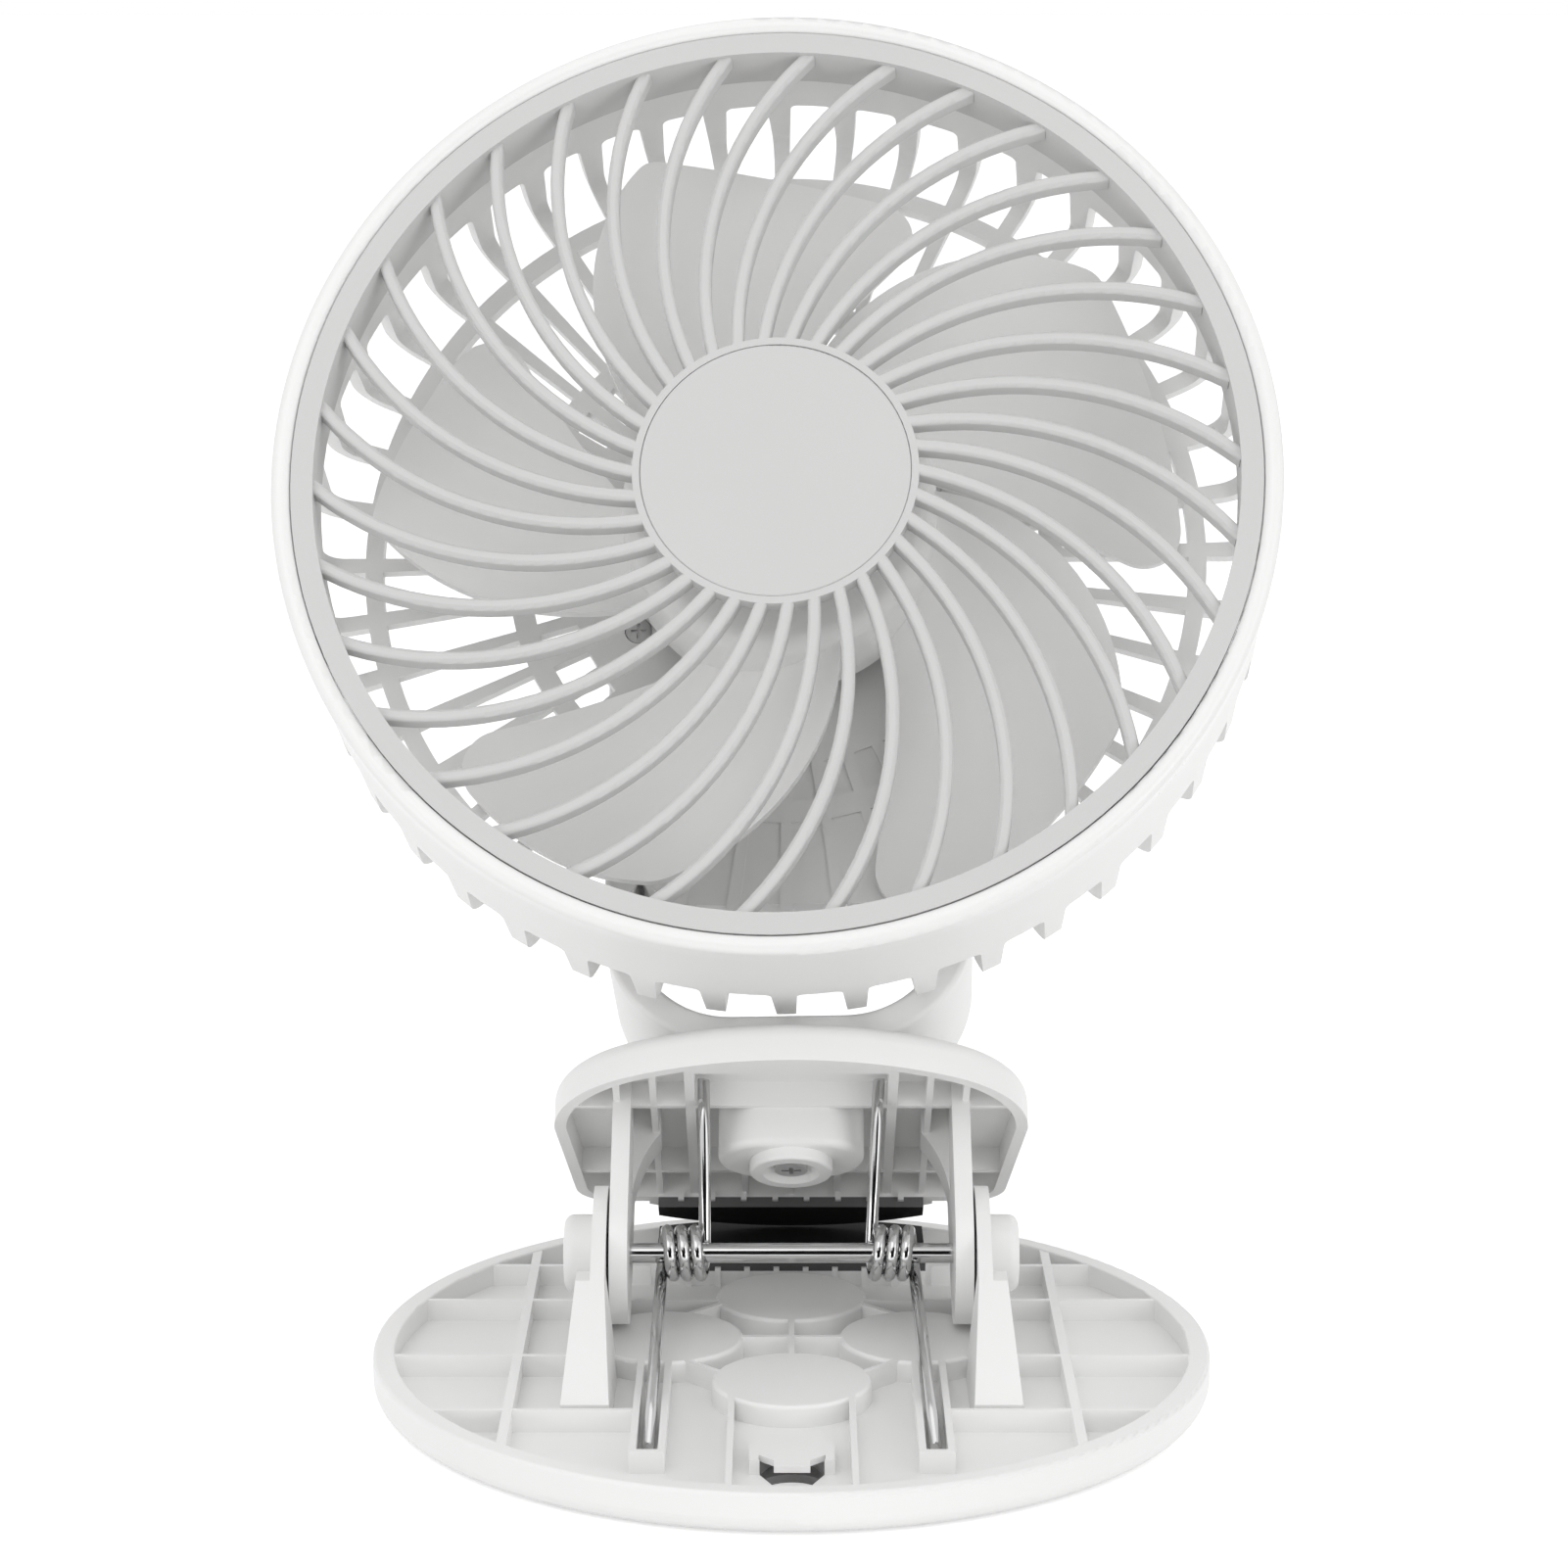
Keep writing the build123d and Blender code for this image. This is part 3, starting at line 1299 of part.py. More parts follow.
with BuildPart() as pod_cover:
    with BuildSketch(HEAD.offset(shell_rear)):
        with Locations((0, pod_middle)):
            RectangleRounded(2 * pod_half_width, pod_height, pod_corner)
    extrude(amount=-pod_depth)
    fillet(pod_cover.faces().sort_by(HEAD_AXIS)[0].edges(), pod_round)
    with BuildSketch(HEAD.offset(shell_rear)):
        Circle(pod_flange_radius)
    extrude(amount=-pod_flange_depth)
    with BuildSketch(HEAD.offset(shell_rear)):
        Circle(pod_flange_radius - pod_wall)
    extrude(amount=-(pod_flange_depth - pod_wall), mode=Mode.SUBTRACT)
    with BuildSketch(HEAD.offset(shell_rear)):
        with Locations((0, pod_middle)):
            RectangleRounded(
                2 * (pod_half_width - pod_wall), pod_height - 2 * pod_wall, pod_corner - pod_wall
            )
    extrude(amount=-(pod_depth - pod_wall), mode=Mode.SUBTRACT)
    for side in (-1, 1):
        with BuildSketch(TILT_SIDE.offset(side * tilt_boss_inner)):
            Circle(tilt_boss_radius)
        extrude(amount=side * (pod_half_width - pod_wall - tilt_boss_inner))
    with BuildSketch(HEAD.offset(pod_floor)):
        with Locations(*board_posts):
            Circle(board_post_radius)
    extrude(amount=board_standoff)
    with BuildSketch(HEAD.offset(pod_floor)):
        with Locations(*holder_posts):
            Circle(holder_post_radius)
    extrude(amount=holder_floor - pod_floor)
    with BuildSketch(HEAD.offset(shell_rear)):
        with Locations(*pod_screw_places):
            Circle(pod_boss_radius)
    extrude(amount=-pod_flange_depth)
    with BuildSketch(HEAD.offset(shell_rear)):
        with Locations(*pod_screw_places):
            Circle(pod_screw_radius + fit_gap)
    extrude(amount=screw_tip - fit_gap - shell_rear, mode=Mode.SUBTRACT)
    with BuildSketch(HEAD.offset(board_rear)):
        with Locations(*board_posts):
            Circle(board_screw_radius + fit_gap)
    extrude(amount=-board_screw_length, mode=Mode.SUBTRACT)
    with BuildSketch(TILT_SIDE):
        Circle(tilt_screw_radius + fit_gap)
    extrude(amount=pod_half_width, both=True, mode=Mode.SUBTRACT)
    with BuildSketch(HEAD.offset(pod_floor)):
        with Locations((0, button_place)):
            Circle(button_hole)
        with Locations((0, socket_place)):
            RectangleRounded(socket_width + 2 * seat_gap, socket_height + 2 * seat_gap, socket_height / 2)
    extrude(amount=-pod_wall, mode=Mode.SUBTRACT)
finish(pod_cover, "pod_cover")

with BuildPart() as pod_screws:
    with BuildSketch(HEAD.offset(screw_seat_pod)):
        with Locations(*pod_screw_places):
            Circle(pod_screw_head)
    extrude(amount=pod_screw_head_height)
    with BuildSketch(HEAD.offset(screw_seat_pod)):
        with Locations(*pod_screw_places):
            Circle(pod_screw_radius)
    extrude(amount=-pod_screw_length)
    with BuildSketch(HEAD.offset(screw_seat_pod + pod_screw_head_height)):
        with Locations(*pod_screw_places):
            add(cross_recess(pod_screw_head))
    extrude(amount=-pod_screw_head_height / 2, mode=Mode.SUBTRACT)
finish(pod_screws, "pod_screws")

with BuildPart() as battery_holder:
    with BuildSketch(HEAD.offset(holder_floor)):
        with Locations((0, holder_bottom + holder_length / 2)):
            RectangleRounded(2 * holder_half, holder_length, holder_corner)
    extrude(amount=cell_axis - holder_floor)
    with BuildSketch(HEAD.offset(holder_floor + holder_wall)):
        with Locations((0, holder_bottom + holder_length / 2)):
            Rectangle(2 * (holder_half - holder_wall), holder_length - 2 * holder_wall)
    extrude(amount=cell_radius * 2, mode=Mode.SUBTRACT)
finish(battery_holder, "battery_holder")

with BuildPart() as battery_cells:
    cell_end = HEAD.from_local_coords((0, holder_bottom + holder_wall + cell_play, cell_axis))
    with BuildSketch(Plane(origin=cell_end, x_dir=HEAD.x_dir, z_dir=HEAD.y_dir)):
        with Locations((-cell_radius - cell_play, 0), (cell_radius + cell_play, 0)):
            Circle(cell_radius)
    extrude(amount=cell_length)
finish(battery_cells, "battery_cells")

with BuildPart() as battery_pad:
    with BuildSketch(HEAD.offset(shell_rear)):
        with Locations((0, holder_bottom + holder_length / 2)):
            Rectangle(pad_width, pad_length)
    extrude(amount=-pad_thickness)
finish(battery_pad, "battery_pad")

with BuildPart() as circuit_board:
    with BuildSketch(HEAD.offset(board_rear)):
        with Locations((0, board_place)):
            Rectangle(board_width, board_length)
        with Locations(*board_posts):
            Circle(board_screw_radius + fit_gap, mode=Mode.SUBTRACT)
    extrude(amount=board_thickness)
finish(circuit_board, "circuit_board")

with BuildPart() as board_screws:
    with BuildSketch(HEAD.offset(board_rear + board_thickness)):
        with Locations(*board_posts):
            Circle(board_screw_head)
    extrude(amount=board_screw_head_height)
    with BuildSketch(HEAD.offset(board_rear + board_thickness)):
        with Locations(*board_posts):
            Circle(board_screw_radius)
    extrude(amount=-board_thickness - board_screw_length + seat_gap)
finish(board_screws, "board_screws")

flange_rear = pod_floor + tilt_play
switch_face = flange_rear + button_flange_thickness + button_travel + body_gap
with BuildPart() as button_switch:
    with BuildSketch(HEAD.offset(board_rear)):
        with Locations((0, button_place)):
            Rectangle(switch_size, switch_size)
    extrude(amount=-(board_rear - switch_face - switch_plunger))
    with BuildSketch(HEAD.offset(switch_face)):
        with Locations((0, button_place)):
            Circle(switch_plunger_radius)
    extrude(amount=switch_plunger)
finish(button_switch, "button_switch")

with BuildPart() as power_button:
    with BuildSketch(HEAD.offset(flange_rear)):
        with Locations((0, button_place)):
            Circle(button_radius + button_flange)
    extrude(amount=button_flange_thickness)
    with BuildSketch(HEAD.offset(flange_rear)):
        with Locations((0, button_place)):
            Circle(button_radius)
    extrude(amount=-(tilt_play + pod_wall + button_proud))
    fillet(power_button.edges().sort_by(HEAD_AXIS)[0], button_round)
finish(power_button, "power_button")

with BuildPart() as charging_socket:
    with BuildSketch(HEAD.offset(board_rear)):
        with Locations((0, socket_place)):
            RectangleRounded(socket_width, socket_height, socket_height / 2 - fit_gap)
    extrude(amount=-(board_rear - pod_floor + pod_wall - socket_sunk))
    with BuildSketch(HEAD.offset(shell_rear - pod_depth + socket_sunk)):
        with Locations((0, socket_place)):
            RectangleRounded(
                socket_width - 2 * socket_shell,
                socket_height - 2 * socket_shell,
                socket_height / 2 - socket_shell - fit_gap,
            )
            Rectangle(socket_tongue_width, socket_shell * 2, mode=Mode.SUBTRACT)
    extrude(amount=socket_depth, mode=Mode.SUBTRACT)
finish(charging_socket, "charging_socket")
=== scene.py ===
"""Clip fan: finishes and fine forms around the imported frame. Metres, +Z up."""
import json
import math

import bpy
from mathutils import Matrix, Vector


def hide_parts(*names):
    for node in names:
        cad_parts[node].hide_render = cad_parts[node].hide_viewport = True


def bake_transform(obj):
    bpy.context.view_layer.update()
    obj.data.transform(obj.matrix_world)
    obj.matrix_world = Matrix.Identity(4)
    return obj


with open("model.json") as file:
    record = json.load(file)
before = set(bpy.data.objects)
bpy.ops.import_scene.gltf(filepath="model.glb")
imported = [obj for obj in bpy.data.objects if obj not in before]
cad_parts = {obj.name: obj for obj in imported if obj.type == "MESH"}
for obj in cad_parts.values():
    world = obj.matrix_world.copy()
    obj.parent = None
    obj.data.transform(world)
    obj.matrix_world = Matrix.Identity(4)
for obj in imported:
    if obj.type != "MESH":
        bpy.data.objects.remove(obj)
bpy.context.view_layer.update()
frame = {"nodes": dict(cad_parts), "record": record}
MM = 0.001


# ---------------------------------------------------------------- camera
CAMERA_PLACE = (-0.0011, -0.566, 0.2043)
CAMERA_PITCH = 78.64        # degrees up from straight down
FOCAL_LENGTH = 91.9         # mm, with the sensor below
SENSOR_WIDTH = 36           # mm
NEAR_CLIP = 0.01


def make_camera():
    camera = bpy.data.objects.new("camera", bpy.data.cameras.new("camera"))
    bpy.context.scene.collection.objects.link(camera)
    camera.location = CAMERA_PLACE
    camera.rotation_euler = (math.radians(CAMERA_PITCH), 0, 0)
    camera.data.lens = FOCAL_LENGTH
    camera.data.sensor_width = SENSOR_WIDTH
    camera.data.clip_start = NEAR_CLIP
    bpy.context.scene.camera = camera


# ---------------------------------------------------------------- shader words
MIX_AMOUNT, MIX_FIRST, MIX_SECOND, MIX_RESULT = 0, 6, 7, 2      # a Mix node's colour sockets
NOISE_MIDDLE = 0.5


class Value:
    """A shader socket, so that shader maths reads as plain arithmetic."""

    def __init__(self, tree, socket):
        self.tree = tree
        self.socket = socket

    def math(self, operation, *others):
        node = self.tree.nodes.new("ShaderNodeMath")
        node.operation = operation
        for place, value in zip(node.inputs, (self, *others)):
            fill(self.tree, place, value)
        return Value(self.tree, node.outputs[0])

    def __add__(self, other):
        return self.math("ADD", other)

    def __sub__(self, other):
        return self.math("SUBTRACT", other)

    def __mul__(self, other):
        return self.math("MULTIPLY", other)

    __radd__ = __add__


def fill(tree, place, value):
    """Set or link one input socket."""
    if isinstance(value, Value):
        tree.links.new(value.socket, place)
    else:
        place.default_value = value


class Finish:
    """A material under construction."""

    def __init__(self, name):
        self.material = bpy.data.materials.new(name)
        self.material.use_nodes = True
        self.tree = self.material.node_tree
        self.shader = self.tree.nodes["Principled BSDF"]
        self.place = self.node("ShaderNodeTexCoord", output="Object")

    def node(self, kind, settings=None, output=0, **inputs):
        """Add one node: its settings first, then the values or links of its sockets."""
        made = self.tree.nodes.new(kind)
        for key, value in (settings or {}).items():
            setattr(made, key, value)
        for key, value in inputs.items():
            fill(self.tree, made.inputs[key.replace("_", " ")], value)
        return Value(self.tree, made.outputs[output])

    def noise(self, scale, detail, roughness=0.5, stretch=None):
        """Grey noise of 0 to 1; scale is in ripples per metre, times stretch along each axis."""
        place = self.place
        if stretch:
            place = self.node("ShaderNodeMapping", Vector=place, Scale=stretch)
        return self.node(
            "ShaderNodeTexNoise", output="Fac",
            Vector=place, Scale=scale, Detail=detail, Roughness=roughness
        )

    def ramp(self, value, low, high):
        """0 up to low and 1 from high on."""
        return self.node("ShaderNodeMapRange", Value=value, From_Min=low, From_Max=high)

    def mix(self, amount, first, second):
        """A colour between first and second."""
        node = self.tree.nodes.new("ShaderNodeMix")
        node.data_type = "RGBA"
        for place, value in ((MIX_AMOUNT, amount), (MIX_FIRST, first), (MIX_SECOND, second)):
            fill(self.tree, node.inputs[place], value)
        return Value(self.tree, node.outputs[MIX_RESULT])

    def bump(self, height, depth, strength, normal=None):
        """Height of 0 to 1 over a real depth in metres, on top of another bump's normal."""
        inputs = {"Height": height, "Distance": depth, "Strength": strength}
        if normal:
            inputs["Normal"] = normal
        return self.node("ShaderNodeBump", **inputs)

    def set(self, **inputs):
        for key, value in inputs.items():
            fill(self.tree, self.shader.inputs[key.replace("_", " ")], value)
        return self.material


def grey(level, tint=(1.0, 1.0, 1.0)):
    return tuple(level * t for t in tint) + (1.0,)


def around(middle, *waves):
    """A value that swings about its middle with noises, each given with its whole swing."""
    for noise, swing in waves:
        middle = middle + (noise - NOISE_MIDDLE) * swing
    return middle


# ---------------------------------------------------------------- finishes
# Painted light on the jaw pads: past a plane across each pad's front face, the rubber is painted
# paler to stand in for the light that face catches. Each plane is given by its direction, and
# its distance along that.
LOWER_PAD_PAINTED_LIGHT_PLANE = ((0, -1, 0), -35.5 * MM)
UPPER_PAD_PAINTED_LIGHT_PLANE = ((0, -0.788, 0.6157), -28.13 * MM)
PAINTED_LIGHT_FADE = (-0.1 * MM, -0.05 * MM)      # where the painted light on the front face starts and is full

BOARD_GREEN = ((0.02, 0.13, 0.05, 1.0), (0.05, 0.24, 0.10, 1.0))
COPPER = ((0.25, 0.09, 0.03, 1.0), (0.75, 0.34, 0.14, 1.0))
BRONZE = (0.60, 0.42, 0.18, 1.0)
CELL_BLUE = (0.3, 0.7, 1.0)
WARM_WHITE = (1.0, 1.0, 0.992)


def moulded_plastic(name, level, roughness=0.42, grain=0.012 * MM, tint=WARM_WHITE):
    """Fine spark-eroded satin, with the faint cloudiness and sink of moulded parts."""
    finish = Finish(name)
    cloud = finish.noise(scale=35, detail=3)
    fleck = finish.noise(scale=2600, detail=2)
    grains = finish.noise(scale=5200, detail=1, roughness=0.6)
    sink = finish.noise(scale=60, detail=1)
    clouds = finish.ramp(cloud, low=0.35, high=0.65)
    sunk = finish.bump(sink, depth=0.06 * MM, strength=0.35)
    return finish.set(
        Base_Color=finish.mix(clouds, grey(level * 0.985, tint), grey(level, tint)),
        Roughness=around(roughness, (cloud, 0.08), (fleck, 0.10)),
        Normal=finish.bump(grains, depth=grain, strength=0.6, normal=sunk),
        Specular_IOR_Level=0.42, IOR=1.5
    )


def rubber(name, level, painted_light_plane=None, painted_light_level=0.0):
    """Matt rubber; past the given plane its colour is painted paler, a painted highlight
    standing in for the light on a jaw pad's front face.
    """
    finish = Finish(name)
    cloud = finish.noise(scale=120, detail=3)
    grains = finish.noise(scale=2400, detail=3, roughness=0.7)
    colour = finish.mix(cloud, grey(level * 0.8), grey(level * 1.2))
    if painted_light_plane:
        away, distance = painted_light_plane
        along = finish.node(
            "ShaderNodeVectorMath", {"operation": "DOT_PRODUCT"}, output="Value",
            Vector=finish.place
        )
        along.socket.node.inputs[1].default_value = away
        # painted light: 0 behind the plane and 1 past it, where the paler front-face colour
        # takes over
        painted_light = finish.ramp(along, *(distance + fade for fade in PAINTED_LIGHT_FADE))
        colour = finish.mix(painted_light, colour, grey(painted_light_level))
    return finish.set(
        Base_Color=colour, Roughness=around(0.8, (grains, 0.2)),
        Normal=finish.bump(grains, depth=0.03 * MM, strength=0.5), Specular_IOR_Level=0.15
    )


def steel(name, level, roughness, streaks=(1, 1, 1)):
    """Drawn or ground steel; the marks are drawn out along an axis whose streak is below 1."""
    finish = Finish(name)
    cloud = finish.noise(scale=200, detail=3)
    marks = finish.noise(scale=6000, detail=2, stretch=streaks)
    return finish.set(
        Base_Color=finish.mix(cloud, grey(level * 0.9), grey(level)), Metallic=1.0,
        Roughness=around(roughness, (marks, 0.12), (cloud, 0.06)),
        Normal=finish.bump(marks, depth=0.002 * MM, strength=0.5)
    )


def metal(name, colour, roughness):
    """Sintered or cast metal, mottled."""
    finish = Finish(name)
    marks = finish.noise(scale=1800, detail=2)
    shade = tuple(part * 0.8 for part in colour[:3]) + (1.0,)
    return finish.set(
        Base_Color=finish.mix(marks, shade, colour), Metallic=1.0,
        Roughness=around(roughness, (marks, 0.15))
    )


def wound_copper(name):
    """Enamelled wire laid side by side."""
    finish = Finish(name)
    wires = finish.node(
        "ShaderNodeTexWave", {"wave_type": "BANDS", "bands_direction": "Z"}, output="Fac",
        Vector=finish.place, Scale=900.0, Distortion=0.4
    )
    return finish.set(
        Base_Color=finish.mix(wires, *COPPER), Metallic=0.9, Roughness=0.35 + wires * 0.1,
        Normal=finish.bump(wires, depth=0.1 * MM, strength=0.7)
    )


def laminate(name):
    """Lacquered board with a faint pattern of traces."""
    finish = Finish(name)
    traces = finish.node(
        "ShaderNodeTexBrick", {"offset": 0.3, "squash": 1.6}, output="Fac",
        Vector=finish.place, Scale=160.0, Mortar_Size=0.03
    )
    return finish.set(
        Base_Color=finish.mix(traces, *BOARD_GREEN), Roughness=0.35 + traces * 0.1,
        Normal=finish.bump(traces, depth=0.03 * MM, strength=0.4)
    )


def foam(name):
    """Black closed-cell foam."""
    finish = Finish(name)
    cells = finish.node(
        "ShaderNodeTexVoronoi", output="Distance", Vector=finish.place, Scale=1600.0
    )
    return finish.set(
        Base_Color=finish.mix(cells, grey(0.02), grey(0.09)), Roughness=0.9 + cells * 0.05,
        Normal=finish.bump(cells, depth=0.2 * MM, strength=0.8)
    )


def make_finishes():
    return {
        "white_plastic": moulded_plastic("white moulded plastic", level=0.88),
        "shell_plastic": moulded_plastic("shell plastic", level=0.87),
        "ring_plastic": moulded_plastic(
            "trim ring plastic", level=0.87, roughness=0.3, grain=0.004 * MM
        ),
        "grille_plastic": moulded_plastic("grille plastic", level=0.62, roughness=0.45),
        "blade_plastic": moulded_plastic("blade plastic", level=0.95, roughness=0.38),
        "mat_rubber": rubber("sole rubber", level=0.55),
        # jaw pads: a very dark level that is partly the rubber's own black and partly painted
        # shade, with painted light on the front face
        "pad_rubber": rubber("jaw rubber", level=0.02, painted_light_plane=LOWER_PAD_PAINTED_LIGHT_PLANE, painted_light_level=0.10),
        "weight_iron": steel("plated weight", level=0.35, roughness=0.45),
        "polished_steel": steel(
            "ground pin steel", level=0.60, roughness=0.10, streaks=(0.05, 1, 1)
        ),
        "spring_steel": steel("spring wire", level=0.60, roughness=0.10, streaks=(1, 0.1, 0.1)),
        "screw_steel": steel("plated screw", level=0.72, roughness=0.45),
        "cap_plastic": moulded_plastic("pin cap plastic", level=0.88),
        "washer_plastic": moulded_plastic("washer plastic", level=0.72),
        "holder_plastic": moulded_plastic("black plastic", level=0.03),
        "cell_wrap": moulded_plastic("cell wrap", level=0.30, roughness=0.25, tint=CELL_BLUE),
        "foam": foam("closed foam"),
        "board_laminate": laminate("board laminate"),
        "socket_steel": steel("socket steel", level=0.60, roughness=0.3),
        "bush_brass": metal("sintered bronze", BRONZE, roughness=0.4),
        "winding_copper": wound_copper("wound copper"),
        "stator_steel": steel("laminated steel", level=0.35, roughness=0.4, streaks=(1, 1, 6)),
        "magnet_ferrite": rubber("ferrite", level=0.06),
    }


def dress_frame(finishes):
    """Give every carried-over node the finish of its slot, or its own."""
    slots = {entry["node"]: entry["material_slot"] for entry in frame["record"]["subparts"]}
    # The upper pad gets its own tilted plane for painted light on its front face, over the same
    # rubber darkened as painted shade.
    own = {
        "upper_jaw_pad": rubber("upper jaw rubber", level=0.02, painted_light_plane=UPPER_PAD_PAINTED_LIGHT_PLANE, painted_light_level=0.15)
    }
    for name, node in frame["nodes"].items():
        node.data.materials.clear()
        node.data.materials.append(own.get(name) or finishes[slots[name]])
        for face in node.data.polygons:
            face.material_index = 0


# ---------------------------------------------------------------- stage
FLOOR_SIZE = 30
FLOOR_MIDDLE = (0, 8, 0)
FLOOR_GLOW = 0.5            # for camera and gloss alone
WORLD_LIGHT = 0.72          # the world's light on the object; camera and gloss see it at 1
LAMP_AIM = (0, 0.02, 0.11)
LAMPS = (                   # name, place, width and height, watts
    ("key", (-0.35, -0.75, 0.85), (0.7, 0.7), 1.5),
    ("fill", (0.75, -0.55, 0.45), (0.6, 0.6), 0.8),
    ("top", (0, 0.1, 1.1), (0.8, 0.8), 1.0),
    ("low", (-0.8, -0.8, 0.14), (0.6, 0.4), 1.6),
    ("low", (0.8, -0.8, 0.14), (0.6, 0.4), 1.6),
)
FLAG_PLACE = (0, -1.23, 0.42)
FLAG_LEAN = 72              # degrees up from lying flat
FLAG_SIZE = (1.8, 1.1, 1)   # metres across and up


def seen_by(tree, *rays):
    """1 for these kinds of ray and 0 for all others."""
    paths = tree.nodes.new("ShaderNodeLightPath")
    seen = Value(tree, paths.outputs[rays[0]])
    for ray in rays[1:]:
        seen = seen + Value(tree, paths.outputs[ray])
    return seen.math("MINIMUM", 1.0)


def make_floor():
    bpy.ops.mesh.primitive_plane_add(size=FLOOR_SIZE, location=FLOOR_MIDDLE)
    floor = bpy.context.object
    floor.name = "floor"
    finish = Finish("floor")
    seen = seen_by(finish.tree, "Is Camera Ray", "Is Glossy Ray")
    finish.set(
        Base_Color=grey(0.92), Roughness=0.9, Specular_IOR_Level=0.1,
        Emission_Color=grey(1.0), Emission_Strength=seen * FLOOR_GLOW
    )
    floor.data.materials.append(finish.material)


def make_world():
    world = bpy.data.worlds.new("studio")
    bpy.context.scene.world = world
    world.use_nodes = True
    tree = world.node_tree
    back = tree.nodes["Background"]
    seen = seen_by(tree, "Is Camera Ray", "Is Glossy Ray", "Is Transmission Ray")
    back.inputs["Color"].default_value = grey(1.0)
    fill(tree, back.inputs["Strength"], seen * (1 - WORLD_LIGHT) + WORLD_LIGHT)


def make_lights():
    for name, place, size, power in LAMPS:
        lamp = bpy.data.objects.new(name, bpy.data.lights.new(name, "AREA"))
        bpy.context.scene.collection.objects.link(lamp)
        lamp.data.shape = "RECTANGLE"
        lamp.data.size, lamp.data.size_y = size
        lamp.data.energy = power
        lamp.location = place
        aim = Vector(LAMP_AIM) - Vector(place)
        lamp.rotation_euler = aim.to_track_quat("-Z", "Y").to_euler()


def make_flag():
    """A black card beyond the camera that only polished metal reflects."""
    deselect()
    bpy.ops.mesh.primitive_plane_add(
        size=1, location=FLAG_PLACE, rotation=(math.radians(FLAG_LEAN), 0, 0)
    )
    card = bpy.context.object
    card.name = "flag"
    card.scale = FLAG_SIZE
    finish = Finish("flag card")
    finish.set(Base_Color=grey(0.01), Roughness=1.0, Specular_IOR_Level=0.0)
    card.data.materials.append(finish.material)
    card.visible_camera = card.visible_diffuse = False
    card.visible_shadow = card.visible_transmission = False


# ---------------------------------------------------------------- modelling
WELD = 0.01 * MM            # points nearer than this are one


def deselect():
    if bpy.context.object and bpy.context.object.mode != "OBJECT":
        bpy.ops.object.mode_set(mode="OBJECT")
    bpy.ops.object.select_all(action="DESELECT")


def pick(piece):
    deselect()
    piece.select_set(True)
    bpy.context.view_layer.objects.active = piece


def edit(piece, vertices):
    """Open a piece in edit mode with only these vertices selected."""
    pick(piece)
    chosen = set(vertices)
    for face in piece.data.polygons:
        face.select = False
    for line in piece.data.edges:
        line.select = all(index in chosen for index in line.vertices)
    for vertex in piece.data.vertices:
        vertex.select = vertex.index in chosen
    bpy.ops.object.mode_set(mode="EDIT")
    bpy.ops.mesh.select_mode(type="VERT")


def near(piece, place, reach):
    return [
        vertex.index for vertex in piece.data.vertices
        if (piece.matrix_world @ vertex.co - place).length < reach
    ]


def apply_modifiers(piece):
    pick(piece)
    for modifier in list(piece.modifiers):
        bpy.ops.object.modifier_apply(modifier=modifier.name)


def settle(piece):
    """Put the place, turn and scale of a piece into its mesh."""
    pick(piece)
    bpy.ops.object.transform_apply(location=True, rotation=True, scale=True)


def seal(piece):
    """Weld a piece and face it outwards."""
    edit(piece, range(len(piece.data.vertices)))
    bpy.ops.mesh.remove_doubles(threshold=WELD)
    bpy.ops.mesh.normals_make_consistent(inside=False)
    bpy.ops.object.mode_set(mode="OBJECT")


def turn_over(piece):
    """Mirror a piece to the object's other side."""
    piece.scale = (-1, 1, 1)
    settle(piece)
    seal(piece)


# ---------------------------------------------------------------- springs
PIN = Vector((0, 7.5, 17.5)) * MM
COIL_RADIUS = 3.35 * MM         # to the middle of the wire
COIL_PITCH = 2.05 * MM
COIL_TURN = 1144.9              # degrees from the lid's leg to the base's leg
COIL_ENTRY = -12.7              # where the lid's leg leaves the coil, degrees about the pin
RIGHT_MIDDLE = 15.2 * MM        # from the object's middle to each coil's
LEFT_MIDDLE = 16.2 * MM
WIRE = 0.93 * MM                # half its thickness
WIRE_SIDES = 14
WINDING_STEPS = 96
SMOOTH_BELOW = 50               # degrees between two faces
LID_TIP = Vector((13.2, 16.4, 42.0)) * MM
BASE_TIP = Vector((20.0, -38.3, 4.15)) * MM
KNEE = 0.8 * MM                 # from the coil's end to where the wire is square to its leg
TIP_LENGTH = 0.2 * MM           # the last of a leg, over which it narrows
TIP_SHARE = 0.82                # of the wire's thickness, at the very tip
END_REACH = 1.05 * WIRE         # holds the ring of points around the wire's end


def coil_angle(swept):
    return math.radians(COIL_ENTRY - swept)


def coil_place(start, swept):
    return Vector((
        start + COIL_PITCH * swept / 360,
        PIN.y + COIL_RADIUS * math.cos(coil_angle(swept)),
        PIN.z + COIL_RADIUS * math.sin(coil_angle(swept)),
    ))


def coil_heading(swept):
    return Vector((
        COIL_PITCH / (2 * math.pi * COIL_RADIUS),
        math.sin(coil_angle(swept)),
        -math.cos(coil_angle(swept)),
    )).normalized()


def axis_frame(axis):
    """Three directions square to each other, the last of them the axis."""
    side = axis.orthogonal().normalized()
    return (side, axis.cross(side), axis)


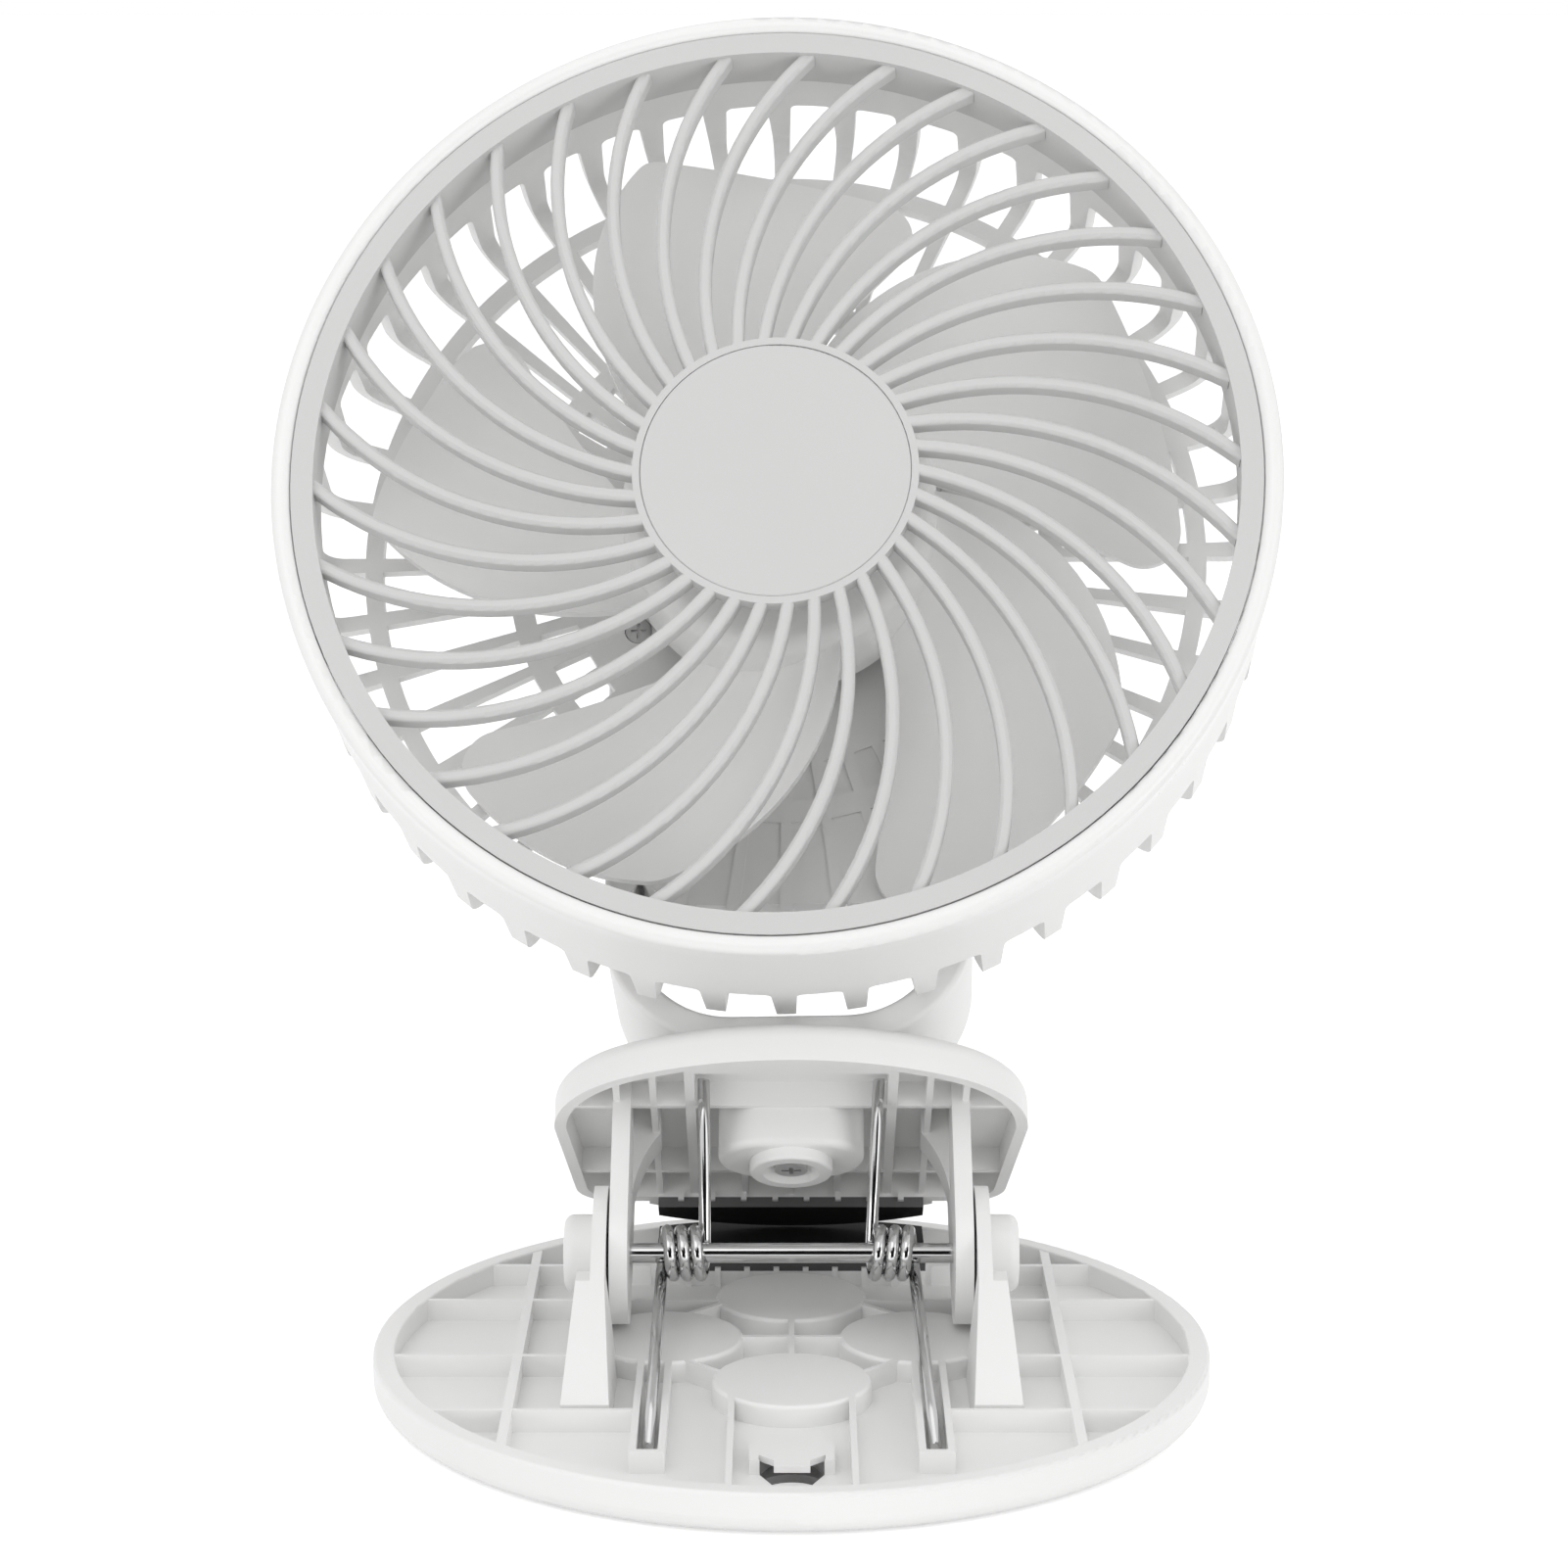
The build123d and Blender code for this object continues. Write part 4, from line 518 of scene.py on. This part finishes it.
def draw_leg(wire, root, tip, heading):
    """Draw the open end of the wire out to its tip, turn it square to the leg and close it."""
    leg = (tip - root).normalized()
    edit(wire, near(wire, root, END_REACH))
    lean = heading.rotation_difference(leg)
    bpy.ops.mesh.extrude_edges_move()
    bpy.ops.transform.translate(value=leg * KNEE)
    bpy.ops.transform.rotate(
        value=-lean.angle, orient_axis="Z", orient_matrix=axis_frame(lean.axis),
        orient_matrix_type="GLOBAL", center_override=root + leg * KNEE
    )
    bpy.ops.mesh.extrude_edges_move()
    bpy.ops.transform.translate(value=tip - root - leg * (KNEE + TIP_LENGTH))
    bpy.ops.mesh.extrude_edges_move()
    bpy.ops.transform.translate(value=leg * TIP_LENGTH)
    bpy.ops.transform.resize(value=(TIP_SHARE, TIP_SHARE, TIP_SHARE), center_override=tip)
    bpy.ops.mesh.edge_face_add()
    bpy.ops.object.mode_set(mode="OBJECT")


def wind_spring(name, middle):
    """A torsion spring on the pin's right half: a ring of wire wound up, then its legs drawn."""
    length = COIL_PITCH * COIL_TURN / 360
    start = middle - length / 2
    root = coil_place(start, 0)
    deselect()
    bpy.ops.mesh.primitive_circle_add(vertices=WIRE_SIDES, radius=WIRE, location=PIN)
    wire = bpy.context.object
    wire.name = name
    turned = coil_heading(0).to_track_quat("Z", "X").to_matrix()
    for vertex in wire.data.vertices:
        vertex.co = turned @ vertex.co + root - PIN
    winding = wire.modifiers.new("winding", "SCREW")
    winding.axis = "X"
    winding.angle = -math.radians(COIL_TURN)
    winding.screw_offset = length
    winding.steps = winding.render_steps = WINDING_STEPS
    winding.use_smooth_shade = True
    apply_modifiers(wire)
    settle(wire)
    draw_leg(wire, root, LID_TIP, -coil_heading(0))
    draw_leg(wire, coil_place(start, COIL_TURN), BASE_TIP, coil_heading(COIL_TURN))
    seal(wire)
    bpy.ops.object.shade_smooth_by_angle(angle=math.radians(SMOOTH_BELOW))
    return wire


def make_springs(finishes):
    for hand, side, middle in (("right", 1, RIGHT_MIDDLE), ("left", -1, LEFT_MIDDLE)):
        spring = wind_spring("wire_spring_" + hand, middle)
        if side < 0:
            turn_over(spring)
        spring.data.materials.append(finishes["spring_steel"])
        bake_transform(spring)
        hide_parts("spring_" + hand)


# ---------------------------------------------------------------- making
make_camera()
make_floor()
make_world()
make_lights()
make_flag()
finishes = make_finishes()
dress_frame(finishes)
make_springs(finishes)

view = bpy.context.scene.view_settings
view.view_transform = "Standard"
